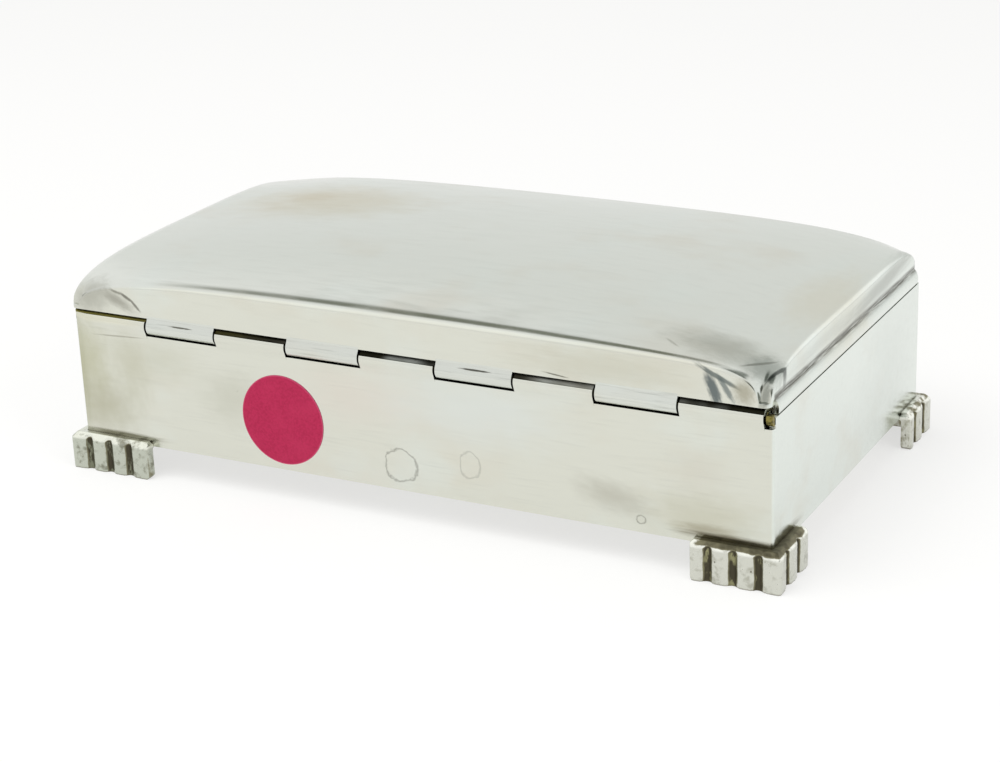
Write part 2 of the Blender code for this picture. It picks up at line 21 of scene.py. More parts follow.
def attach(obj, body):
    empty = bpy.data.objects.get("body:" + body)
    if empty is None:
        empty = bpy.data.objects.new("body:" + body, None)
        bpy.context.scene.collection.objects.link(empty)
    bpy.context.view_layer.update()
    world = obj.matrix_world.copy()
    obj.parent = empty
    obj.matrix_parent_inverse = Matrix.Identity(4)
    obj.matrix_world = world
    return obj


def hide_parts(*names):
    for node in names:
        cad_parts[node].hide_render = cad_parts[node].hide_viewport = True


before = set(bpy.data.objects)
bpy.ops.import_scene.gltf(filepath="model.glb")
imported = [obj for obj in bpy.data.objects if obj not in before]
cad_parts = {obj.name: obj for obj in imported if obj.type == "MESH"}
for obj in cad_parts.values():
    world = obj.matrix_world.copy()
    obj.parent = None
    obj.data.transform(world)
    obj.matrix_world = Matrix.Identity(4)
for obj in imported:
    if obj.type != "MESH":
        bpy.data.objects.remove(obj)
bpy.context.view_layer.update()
LOG = logging.getLogger("cigarette_box")

MM = 0.001
TINY = 0.02 * MM
SHARP = math.radians(40)
TARNISH = "tarnish"
WHITE = (1.0, 1.0, 1.0, 1.0)

Point = tuple[float, float]
Triple = tuple[float, float, float]
Colour = tuple[float, float, float, float]
Material = bpy.types.Material
Piece = bpy.types.Object
Node = bpy.types.Node
Socket = bpy.types.NodeSocket
Mesh = bmesh.types.BMesh
Vert = bmesh.types.BMVert
Edge = bmesh.types.BMEdge
Face = bmesh.types.BMFace


def mm(*parts: float) -> tuple[float, ...]:
    """Turns millimetres to metres."""
    return tuple(part * MM for part in parts)


def clamp(value: float, low: float = 0.0, high: float = 1.0) -> float:
    """Keeps a value between two limits."""
    return min(max(value, low), high)


def linear(code: str) -> Colour:
    """Turns an sRGB hex colour to linear.

    Args:
        code: six hex digits.

    Returns:
        The linear colour with an alpha of 1.
    """
    parts = [int(code[start:start + 2], 16) / 255 for start in (0, 2, 4)]
    red, green, blue = (
        part / 12.92 if part <= 0.04045 else ((part + 0.055) / 1.055) ** 2.4 for part in parts)
    return red, green, blue, 1.0


@dataclass(frozen=True)
class Stain:
    """A soft patch on a surface.

    Attributes:
        centre: its middle in millimetres.
        reach: its half sizes along X, Y and Z in millimetres.
        code: its sRGB hex colour.
        strength: how much of the colour it lays on, from 0 to 1.
        soft: how far its edge fades, as a share of its reach.
        turn: how far it is turned about X, Y and Z in degrees.
    """

    centre: Triple
    reach: Triple
    code: str
    strength: float
    soft: float
    turn: Triple = (0, 0, 0)


@dataclass(frozen=True)
class Ring(Stain):
    """A faint drying mark, an uneven closed line, whose soft value is the line's half width."""


class Tree:
    """A node tree, with short ways to add the nodes that the finishes and the studio share."""

    def __init__(self, tree: bpy.types.NodeTree) -> None:
        """Takes the tree that the nodes go into."""
        self.tree = tree

    def feed(self, node: Node, inputs: dict[str | int, Any]) -> None:
        """Sets a node's inputs.

        Args:
            node: the node.
            inputs: values or output sockets for its inputs, by name or number.
        """
        for name, value in inputs.items():
            if isinstance(value, Socket):
                self.tree.links.new(value, node.inputs[name])
            else:
                node.inputs[name].default_value = value

    def add(self, kind: str, inputs: dict[str | int, Any] | None = None, **settings: Any) -> Node:
        """Adds a node.

        Args:
            kind: the node's type name.
            inputs: values or output sockets for its inputs, by name or number.
            **settings: attributes of the node.

        Returns:
            The new node.
        """
        node = self.tree.nodes.new(kind)
        for name, value in settings.items():
            setattr(node, name, value)
        self.feed(node, inputs or {})
        return node

    def calc(self, operation: str, *values: Any, use_clamp: bool = False) -> Socket:
        """The result of a Math node on some values."""
        node = self.add(
            "ShaderNodeMath", dict(enumerate(values)), operation=operation, use_clamp=use_clamp)
        return node.outputs[0]

    def move(self, operation: str, *values: Any) -> Socket:
        """The result of a Vector Math node on some values."""
        return self.add("ShaderNodeVectorMath", dict(enumerate(values)), operation=operation).outputs[0]

    def length(self, vector: Socket) -> Socket:
        """A vector's length."""
        return self.add("ShaderNodeVectorMath", {0: vector}, operation="LENGTH").outputs["Value"]

    def split(self, vector: Socket) -> Any:
        """A vector's X, Y and Z."""
        return self.add("ShaderNodeSeparateXYZ", {0: vector}).outputs

    def fade(self, value: Any, low: float, high: float, top: float = 1.0) -> Socket:
        """A value turned to 0 at low and to top at high, with a soft start and end."""
        inputs = {"Value": value, "From Min": low, "From Max": high, "To Max": top}
        return self.add("ShaderNodeMapRange", inputs, interpolation_type="SMOOTHSTEP").outputs[0]

    def ramp(self, value: Any, low: float, high: float, bottom: float = 0.0, top: float = 1.0) -> Socket:
        """A value turned to bottom at low and to top at high, in a straight line."""
        inputs = {"Value": value, "From Min": low, "From Max": high, "To Min": bottom, "To Max": top}
        return self.add("ShaderNodeMapRange", inputs).outputs[0]

    def noise(self, place: Socket, scale: float, detail: float, rough: float = 0.5) -> Socket:
        """Noise at a place."""
        inputs = {"Vector": place, "Scale": scale, "Detail": detail, "Roughness": rough}
        return self.add("ShaderNodeTexNoise", inputs).outputs[0]

    def mix(self, mask: Socket, first: Any, second: Any) -> Socket:
        """Two colours mixed by a mask."""
        return self.add("ShaderNodeMix", {0: mask, 6: first, 7: second}, data_type="RGBA").outputs[2]

    def blend(self, mask: Socket, first: Node, second: Node) -> Socket:
        """Two shaders mixed by a mask."""
        inputs = {0: mask, 1: first.outputs[0], 2: second.outputs[0]}
        return self.add("ShaderNodeMixShader", inputs).outputs[0]


class Paint(Tree):
    """A Principled material in the making, with masks on Object coordinates."""

    def __init__(self, name: str, base: str) -> None:
        """Starts a material of one colour."""
        self.material = bpy.data.materials.new(name)
        self.material.use_nodes = True
        super().__init__(self.material.node_tree)
        coordinates = self.add("ShaderNodeTexCoord")
        self.place = coordinates.outputs["Object"]
        self.facing = coordinates.outputs["Normal"]
        self.colour: Any = linear(base)

    def layer(self, mask: Socket, code: str, strength: float = 1.0) -> None:
        """Lays a colour over the rest where a mask says so."""
        mask = mask if strength == 1.0 else self.calc("MULTIPLY", mask, strength)
        self.colour = self.mix(mask, self.colour, linear(code))

    def scaled(self, size: Triple) -> Socket:
        """The Object coordinates in lumps of some size in metres."""
        inputs = {"Vector": self.place, "Scale": tuple(1 / part for part in size)}
        return self.add("ShaderNodeMapping", inputs).outputs[0]

    def within(self, centre: Triple, reach: Triple, turn: Triple = (0, 0, 0)) -> Socket:
        """The Object coordinates seen from a centre.

        Args:
            centre: the centre in metres.
            reach: the lengths along X, Y and Z that count as 1, in metres.
            turn: how far the axes are turned in degrees.

        Returns:
            The coordinates.
        """
        inputs = {"Vector": self.place, "Location": centre, "Rotation": tuple(map(math.radians, turn)),
                  "Scale": reach}
        return self.add("ShaderNodeMapping", inputs, vector_type="TEXTURE").outputs[0]

    def cloud(self, size: Triple, low: float, high: float, detail: float = 3.0) -> Socket:
        """A soft noise mask of lumps of some size in metres, 0 at one noise level and 1 at another."""
        return self.fade(self.noise(self.scaled(size), 1.0, detail, 0.55), low, high)

    def spots(self, spacing: float, radius: float, share: float) -> Socket:
        """Small scattered specks.

        Args:
            spacing: the mean distance between cells in metres.
            radius: the speck's radius in metres.
            share: the share of the cells that hold a speck.

        Returns:
            The mask.
        """
        cells = self.add("ShaderNodeTexVoronoi", {"Vector": self.scaled((spacing,) * 3), "Scale": 1.0})
        near = self.fade(cells.outputs["Distance"], radius / spacing, radius / spacing / 3)
        draw = self.add("ShaderNodeSeparateColor", {"Color": cells.outputs["Color"]}).outputs[0]
        return self.calc("MULTIPLY", near, self.calc("LESS_THAN", draw, share))

    def patch(self, stain: Stain) -> Socket:
        """A soft round patch with a ragged edge, or the uneven line of a drying mark.

        Args:
            stain: the patch or mark.

        Returns:
            The mask.
        """
        local = self.within(mm(*stain.centre), mm(*stain.reach), stain.turn)
        distance = self.length(local)
        if isinstance(stain, Ring):
            pushed = self.calc("MULTIPLY_ADD", self.noise(local, 1.6, 4.0, 0.65), 0.7, distance)
            away = self.calc("ABSOLUTE", self.calc("SUBTRACT", pushed, 1.3))
            return self.fade(away, stain.soft, 0.0, stain.strength)
        pushed = self.calc("MULTIPLY_ADD", self.noise(local, 2.2, 5.0, 0.6), 1.1, distance)
        return self.fade(pushed, 1.5 + stain.soft, 1.5 - stain.soft, stain.strength)

    def corners(self, code: str, reach: float, start: float, full: float, strength: float) -> None:
        """Darkens corners and joints from ambient occlusion, painted shade with the tarnish that gathers
        there, from the openness where it starts to where it is full.
        """
        near = self.add("ShaderNodeAmbientOcclusion", {"Distance": reach}, samples=8, only_local=False)
        self.layer(self.fade(near.outputs["AO"], start, full, strength), code)

    def done(self, values: dict[str, Any], height: Socket, strength: float, distance: float,
             invert: bool = False) -> Material:
        """Finishes the material.

        Args:
            values: the shader's other inputs.
            height: the bump's height.
            strength: the bump's strength.
            distance: the bump's depth in metres.
            invert: whether high places go in.

        Returns:
            The material.
        """
        inputs = {"Height": height, "Strength": strength, "Distance": distance}
        bump = self.add("ShaderNodeBump", inputs, invert=invert).outputs[0]
        self.feed(
            self.tree.nodes["Principled BSDF"], {"Base Color": self.colour, "Normal": bump, **values})
        return self.material


@dataclass(frozen=True)
class SilverPlate:
    """Silver plate on brass, hand polished: bright and soft, with faint clouds, specks and wipe marks.

    Attributes:
        name: the material's name.
        base: the colour of the lid's top and the rest.
        rear: the colour of faces that look to +Y, a little warmer: warm tarnish and painted reflection.
        ends: the colour of faces that look along X, a little cooler: painted reflection.
        crevice: the colour laid in corners by ambient occlusion, painted shade with tarnish.
        crevice_reach: how far from a corner it lies in metres.
        roughness: the polish.
        wiped: how strongly wipe marks along the length show in the colour.
        line_level: the height of a dark line in metres, above the moulding: painted shade in the joint, with
            tarnish.
        lined: whether it has that line.
        stains_and_painted_light: drying marks and patches of tarnish, and patches of painted reflection,
            highlight and shade.
    """

    name: str
    base: str = "DCDFD8"
    rear: str = "D8D9CE"
    ends: str = "E1E7E1"
    crevice: str = "4A4530"
    crevice_reach: float = 1.0 * MM
    roughness: float = 0.17
    wiped: float = 0.10
    line_level: float = 37.75 * MM
    lined: bool = False
    stains_and_painted_light: tuple[Stain, ...] = ()

    def build(self) -> Material:
        """Makes the material.

        Returns:
            The material.
        """
        paint = Paint(self.name, self.base)
        facing = paint.split(paint.facing)
        # Faces that look to the rear and to the ends get their own tones by the way they face: painted
        # reflection, with some warm tarnish on the rear.
        for number, code in ((1, self.rear), (0, self.ends)):
            paint.layer(paint.fade(paint.calc("ABSOLUTE", facing[number]), 0.35, 0.9), code)
        # Broad clouds of thin tarnish, some warm and some cool.
        paint.layer(paint.cloud(mm(28, 22, 16), 0.5, 0.78), "D3CDBD", 0.45)
        paint.layer(paint.cloud(mm(17, 26, 12), 0.5, 0.75), "DBE1DB", 0.45)
        # Wipe marks from polishing, drawn some ten times as wide as real ones so that they show.
        paint.layer(paint.cloud(mm(11, 0.7, 0.5), 0.5, 0.8, 4.0), "8E908A", self.wiped)
        for stain in self.stains_and_painted_light:
            paint.layer(paint.patch(stain), stain.code)
        paint.layer(paint.spots(5.5 * MM, 0.2 * MM, 0.12), "8F8C7C")
        if self.lined:
            # A dark line in the joint above the moulding: painted shade, with tarnish.
            paint.layer(self.joint_shade_line(paint), "5C5C53")
        # Corners and joints are darkened by ambient occlusion: painted shade, with tarnish.
        paint.corners(self.crevice, self.crevice_reach, 0.62, 0.15, 0.92)
        # The polish is uneven: wiped streaks along the length and duller clouds.
        streaks = paint.cloud(mm(9, 1.6, 1.2), 0.35, 0.75, 2.0)
        rough = paint.ramp(streaks, 0.0, 1.0, self.roughness * 0.85, self.roughness * 1.35)
        waves = paint.noise(paint.place, 1 / (21 * MM), 1.5)
        return paint.done({"Metallic": 1.0, "Roughness": rough}, waves, 1.0, 0.05 * MM)

    def joint_shade_line(self, paint: Paint) -> Socket:
        """The dark line along the top of the moulding, in front of the joint: painted shade in the concave
        joint, with tarnish.

        Args:
            paint: the material in the making.

        Returns:
            The mask.
        """
        parts = paint.split(paint.place)
        ragged = paint.cloud(mm(6, 6, 0.24), 0.15, 0.62, 4.0)
        away = paint.calc("ABSOLUTE", paint.calc("SUBTRACT", parts[2], self.line_level))
        line = paint.fade(away, 1.15 * MM, 0.25 * MM)
        front = paint.fade(parts[1], 41.5 * MM, 40.5 * MM)
        return paint.calc("MULTIPLY", paint.calc("MULTIPLY", line, front), ragged)


@dataclass(frozen=True)
class CastSilver:
    """Cast white metal, silver plated: satin on the ribs and nearly black with old tarnish in the flutes.

    Attributes:
        name: the material's name.
        base: the colour of the ribs.
        rim: the lighter colour of the sloped rim, a painted highlight.
        tarnish: the colour of the thin tarnish round the flutes.
        crevice: the colour of the tarnish in the flutes.
        worn_sheen: the colour of lighter olive patches in the flutes: worn plating and painted reflection.
        blotch: the colour of the old tarnish that mottles the ribs.
        blotched: how strong it is, from 0 to 1.
        rim_level: the height of the rim's slope in metres.
    """

    name: str
    base: str = "D2D3C9"
    rim: str = "ECEDE4"
    tarnish: str = "827E66"
    crevice: str = "4F4B3D"
    worn_sheen: str = "A2A07A"
    blotch: str = "85836F"
    blotched: float = 0.45
    rim_level: float = 7.2 * MM

    def build(self) -> Material:
        """Makes the material.

        Returns:
            The material.
        """
        paint = Paint(self.name, self.base)
        depth = paint.add("ShaderNodeAttribute", attribute_name=TARNISH).outputs["Fac"]
        uneven = paint.calc("MULTIPLY_ADD", paint.cloud(mm(1.6, 1.6, 2.4), 0.25, 0.8, 4.0), 0.34, depth)
        # The sloped rim and the top above it are painted lighter: a painted highlight.
        level = paint.fade(paint.split(paint.place)[2], self.rim_level - 0.4 * MM, self.rim_level)
        paint.layer(level, self.rim)
        paint.layer(paint.cloud(mm(2.2, 2.2, 2.0), 0.5, 0.68, 5.0), self.blotch, self.blotched)
        # The tarnish gets darker with depth, and lighter olive patches in it stand for worn plating and
        # painted reflection.
        old = paint.mix(paint.ramp(uneven, 0.5, 0.9), linear(self.tarnish), linear(self.crevice))
        paint.colour = paint.mix(paint.ramp(uneven, 0.28, 0.42), paint.colour, old)
        worn_sheen_mask = paint.calc("MULTIPLY", paint.cloud(mm(1.4, 1.4, 3.4), 0.5, 0.6), depth)
        below = paint.calc("SUBTRACT", 0.9, level)
        paint.layer(paint.calc("MULTIPLY", worn_sheen_mask, below, use_clamp=True), self.worn_sheen)
        paint.layer(paint.spots(2.4 * MM, 0.24 * MM, 0.22), "55513E")
        # Corners and joints are darkened by ambient occlusion: painted shade, with tarnish.
        paint.corners("5F5741", 1.2 * MM, 0.68, 0.3, 0.7)
        rough = paint.ramp(uneven, 0.2, 0.7, 0.24, 0.55)
        grain = paint.noise(paint.place, 1 / (0.9 * MM), 3.0)
        return paint.done({"Metallic": 1.0, "Roughness": rough}, grain, 0.7, 0.07 * MM)


@dataclass(frozen=True)
class AgedBrass:
    """Drawn brass where the plating has gone: olive yellow, dull, with darker blotches."""

    name: str

    def build(self) -> Material:
        """Makes the material.

        Returns:
            The material.
        """
        paint = Paint(self.name, "8D8349")
        blotch = paint.cloud(mm(0.7, 0.7, 0.7), 0.42, 0.66)
        paint.layer(blotch, "4E4828")
        # Corners and joints are darkened by ambient occlusion: painted shade, with tarnish.
        paint.corners("3A3420", 0.7 * MM, 0.85, 0.4, 0.9)
        return paint.done({"Metallic": 1.0, "Roughness": 0.42}, blotch, 0.5, 0.05 * MM)


class Grain(Enum):
    """The way in which a board's grain runs, as the sizes of a grain line along X, Y and Z in metres."""

    ALONG_LENGTH = mm(45, 1.1, 1.1)
    ALONG_WIDTH = mm(1.1, 45, 1.1)


@dataclass(frozen=True)
class Cedar:
    """Planed Spanish cedar, unvarnished: red brown with darker growth lines and fine open pores."""

    name: str
    grain: Grain

    def build(self) -> Material:
        """Makes the material.

        Returns:
            The material.
        """
        paint = Paint(self.name, "B07A50")
        lines = self.grain.value
        paint.layer(paint.cloud(lines, 0.3, 0.72, 4.0), "84502F")
        paint.layer(paint.cloud(tuple(5 * part for part in lines), 0.35, 0.7, 2.0), "9A5F3B", 0.5)
        pores = paint.cloud(tuple(part / 4 for part in lines), 0.62, 0.7, 2.0)
        paint.layer(pores, "6B3E24")
        return paint.done({"Roughness": 0.62}, pores, 0.4, 0.08 * MM, invert=True)


@dataclass(frozen=True)
class LabelPaper:
    """Uncoated dyed paper: crimson, matt, with the faint mottle of its fibres and a paler cut edge.

    Attributes:
        name: the material's name.
        middle: the disc's middle in metres.
        radius: the disc's radius in metres.
    """

    name: str
    middle: Triple
    radius: float

    def build(self) -> Material:
        """Makes the material.

        Returns:
            The material.
        """
        paint = Paint(self.name, "B82251")
        fibres = paint.cloud(mm(0.5, 0.5, 0.5), 0.35, 0.7)
        paint.layer(fibres, "AB1B48")
        paint.layer(paint.cloud(mm(6, 6, 6), 0.4, 0.7, 2.0), "BE2C57", 0.4)
        from_middle = paint.length(paint.within(self.middle, (self.radius,) * 3))
        paint.layer(paint.fade(from_middle, 0.965, 1.0, 0.55), "D8658A")
        return paint.done({"Roughness": 0.68, "Specular IOR Level": 0.3}, fibres, 0.3, 0.02 * MM)


def polar(radius: float, turn: float) -> Point:
    """The point at a radius and an angle in degrees."""
    return radius * math.cos(math.radians(turn)), radius * math.sin(math.radians(turn))


def arc(radius: float, start: float, end: float, steps: int, middle: Point = (0.0, 0.0)) -> list[Point]:
    """Points on a circle from a start angle to an end angle, in degrees."""
    spokes = [polar(radius, start + (end - start) * step / steps) for step in range(steps + 1)]
    return [(middle[0] + x, middle[1] + y) for x, y in spokes]


def curve(corners: tuple[Point, ...], steps: int) -> list[Point]:
    """Points on a cubic curve.

    Args:
        corners: its start, its two handles and its end.
        steps: how many steps it has.

    Returns:
        The points after the start, the end among them.
    """
    points = []
    for step in range(1, steps + 1):
        t = step / steps
        weights = ((1 - t) ** 3, 3 * t * (1 - t) ** 2, 3 * t * t * (1 - t), t ** 3)
        points.append(tuple(
            sum(weight * corner[axis] for weight, corner in zip(weights, corners)) for axis in (0, 1)))
    return points


def only(items: list[Any], kind: type) -> list[Any]:
    """The items of one kind."""
    return [item for item in items if isinstance(item, kind)]


def loop_of(shape: Mesh, places: list[Vector]) -> list[Edge]:
    """Adds a closed line of edges through some places."""
    corners = [shape.verts.new(place) for place in places]
    return [shape.edges.new(pair) for pair in zip(corners, corners[1:] + corners[:1])]


def cut(shape: Mesh, place: Vector | Triple, normal: Vector | Triple, fill: bool = False) -> None:
    """Cuts a mesh by a plane.

    Args:
        shape: the mesh.
        place: a place on the plane.
        normal: the plane's normal.
        fill: whether what lies beyond the plane goes and the hole is closed.
    """
    found = bmesh.ops.bisect_plane(
        shape, geom=shape.verts[:] + shape.edges[:] + shape.faces[:], plane_co=place, plane_no=normal,
        clear_outer=fill)
    if fill:
        bmesh.ops.contextual_create(shape, geom=only(found["geom_cut"], Edge))


def raise_faces(shape: Mesh, faces: list[Face], step: Vector) -> Mesh:
    """Raises faces along a vector into a solid, with the old faces as its other end.

    Args:
        shape: the mesh.
        faces: the faces.
        step: how far and which way they are raised.

    Returns:
        The same mesh.
    """
    raised = bmesh.ops.extrude_face_region(shape, geom=faces, use_keep_orig=True)["geom"]
    bmesh.ops.translate(shape, vec=step, verts=only(raised, Vert))
    bmesh.ops.recalc_face_normals(shape, faces=shape.faces)
    return shape


def prism(places: list[Vector], step: Vector) -> Mesh:
    """A closed outline raised along a vector.

    Args:
        places: the outline's corners in order.
        step: how far and which way it is raised.

    Returns:
        The solid.
    """
    shape = bmesh.new()
    base = bmesh.ops.contextual_create(shape, geom=loop_of(shape, places))["faces"]
    return raise_faces(shape, base, step)


def piece_from(shape: Mesh, name: str, *materials: Material, sharp: bool = False) -> Piece:
    """An object at the origin that holds the mesh, shaded smooth. The bmesh is freed.

    Args:
        shape: the mesh.
        name: the piece's name.
        materials: its materials.
        sharp: whether its sharp edges stay sharp in the shading.

    Returns:
        The object.
    """
    mesh = bpy.data.meshes.new(name)
    for face in shape.faces:
        face.smooth = True
    shape.to_mesh(mesh)
    shape.free()
    piece = bpy.data.objects.new(name, mesh)
    bpy.context.scene.collection.objects.link(piece)
    for material in materials:
        mesh.materials.append(material)
    if sharp:
        mesh.set_sharp_from_angle(angle=SHARP)
    return piece


def round_edges(piece: Piece, width: float, segments: int, angle: float = 35.0) -> None:
    """Rounds the sharp edges of a piece and keeps its flat faces flat in the shading.

    Args:
        piece: the piece.
        width: the rounding's width in metres.
        segments: how many facets it has.
        angle: the sharpest angle in degrees that is left alone.
    """
    modifier = piece.modifiers.new("rounded edges", "BEVEL")
    modifier.width = width
    modifier.segments = segments
    modifier.limit_method = "ANGLE"
    modifier.angle_limit = math.radians(angle)
    modifier.harden_normals = True


def settle(piece: Piece) -> None:
    """Applies a piece's modifiers to its mesh.

    Args:
        piece: the piece.
    """
    bpy.context.view_layer.update()
    old = piece.data
    mesh = bpy.data.meshes.new_from_object(piece.evaluated_get(bpy.context.evaluated_depsgraph_get()))
    piece.modifiers.clear()
    piece.data = mesh
    name = old.name
    bpy.data.meshes.remove(old)
    mesh.name = name


def report(piece: Piece, body: str, *nodes: str) -> None:
    """Sets a finished piece on its body, in the place of its CAD nodes, and logs it.

    Args:
        piece: the piece.
        body: the CAD body that it moves with.
        *nodes: the CAD nodes that it stands for.
    """
    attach(piece, body)
    if nodes:
        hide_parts(*nodes)
    LOG.info("%s on %s, for %s", piece.name, body, ", ".join(nodes) or "no node")


@dataclass(frozen=True)
class BoxSizes:
    """The sizes that the pieces share, the same as the CAD part's, in metres."""

    half_length: float = 80 * MM
    half_width: float = 43.5 * MM
    raise_z: float = 7 * MM
    seam_z: float = 34.4 * MM
    wall_top_drop: float = 0.075 * MM
    fit_gap: float = 0.3 * MM
    sheet: float = 1.2 * MM
    case_corner: float = 0.8 * MM
    knuckle_radius: float = 2 * MM
    knuckle_bulge: float = 0.8 * MM
    knuckle_bore: float = 1.2 * MM
    knuckle_count: int = 9

    @property
    def hinge_y(self) -> float:
        """The hinge line's Y."""
        return self.half_width + self.knuckle_bulge - self.knuckle_radius

    @property
    def channel(self) -> float:
        """The radius of the channel round the knuckles."""
        return self.knuckle_radius + self.fit_gap

    @property
    def wall_face(self) -> float:
        """How far the wall's face lies behind the hinge line."""
        return self.half_width - self.hinge_y

    @property
    def face_cut(self) -> float:
        """How far above and below the hinge line the channel cuts the wall's face."""
        return math.sqrt(self.channel ** 2 - self.wall_face ** 2)

    @property
    def apron_foot(self) -> float:
        """The height of the rear apron's lower edge."""
        return self.seam_z + self.face_cut

    @property
    def joint_half_length(self) -> float:
        """Half the length of the row of knuckles."""
        return self.half_length - self.sheet - self.fit_gap


SIZES = BoxSizes()


def by_hinge(x: float, spots: list[Point]) -> list[Vector]:
    """Places at one X, from their Y and Z about the hinge line."""
    return [Vector((x, SIZES.hinge_y + y, SIZES.seam_z + z)) for y, z in spots]


@dataclass(frozen=True)
class CaseWalls:
    """The four walls: one folded strip of sheet, open above and below."""

    corner_steps: int = 8
    edge_round: float = 0.15 * MM
    joint_ease: float = 0.1 * MM

    def build(self, silver: Material) -> None:
        """Builds the walls.

        Args:
            silver: their finish.
        """
        low = Vector((-SIZES.half_length, -SIZES.half_width, SIZES.raise_z))
        high = Vector((SIZES.half_length, SIZES.half_width, SIZES.seam_z - SIZES.wall_top_drop))
        shape = bmesh.new()
        bmesh.ops.create_cube(shape, size=1.0)
        bmesh.ops.scale(shape, vec=high - low, verts=shape.verts)
        bmesh.ops.translate(shape, vec=(low + high) / 2, verts=shape.verts)
        upright = [edge for edge in shape.edges
                   if abs(edge.verts[0].co.z - edge.verts[1].co.z) > SIZES.sheet]
        bmesh.ops.bevel(
            shape, geom=upright, offset=SIZES.case_corner, segments=self.corner_steps, profile=0.5,
            affect="EDGES", material=-1)
        level = [face for face in shape.faces if abs(face.normal.z) > 0.5]
        bmesh.ops.delete(shape, geom=level, context="FACES_ONLY")
        rear_top = SIZES.seam_z - SIZES.face_cut - self.joint_ease
        cut(shape, (0, 0, rear_top), (0, 0, 1))
        cut(shape, (0, SIZES.hinge_y, 0), (0, 1, 0))
        over = [face for face in shape.faces
                if face.calc_center_median().z > rear_top
                and face.calc_center_median().y > SIZES.hinge_y]
        bmesh.ops.delete(shape, geom=over, context="FACES")
        bmesh.ops.recalc_face_normals(shape, faces=shape.faces)
        outward = [face for face in shape.faces if face.normal.dot(face.calc_center_median()) > 0]
        if len(outward) < len(shape.faces) / 2:
            bmesh.ops.reverse_faces(shape, faces=shape.faces)
        bmesh.ops.solidify(shape, geom=shape.faces[:], thickness=SIZES.sheet)
        walls = piece_from(shape, "case_walls", silver)
        round_edges(walls, self.edge_round, 2)
        report(walls, "case", "case_band")


@dataclass(frozen=True)
class Solder:
    """The hollow of solder between a knuckle and the flat face above or below it.

    Attributes:
        angle: where it leaves the knuckle, in degrees about the hinge line.
        way: 1 where it goes up, -1 where it goes down.
        reach: how far along the face it goes.
        handle: how long it keeps the knuckle's direction, as a share of the radius.
        late: how far along the face it starts to leave it, as a share of the reach.
    """

    angle: float
    way: int
    reach: float
    handle: float
    late: float

    def points(self, face: float, steps: int) -> list[Point]:
        """Its outline.

        Args:
            face: the flat face's Y from the hinge line.
            steps: how many steps it has.

        Returns:
            Its points, the knuckle's side first.
        """
        start = polar(SIZES.knuckle_radius, self.angle)
        along = polar(self.way * self.handle * SIZES.knuckle_radius, self.angle + 90)
        end = self.way * self.reach
        return curve(
            (start, (start[0] + along[0], start[1] + along[1]), (face, end * self.late), (face, end)), steps)


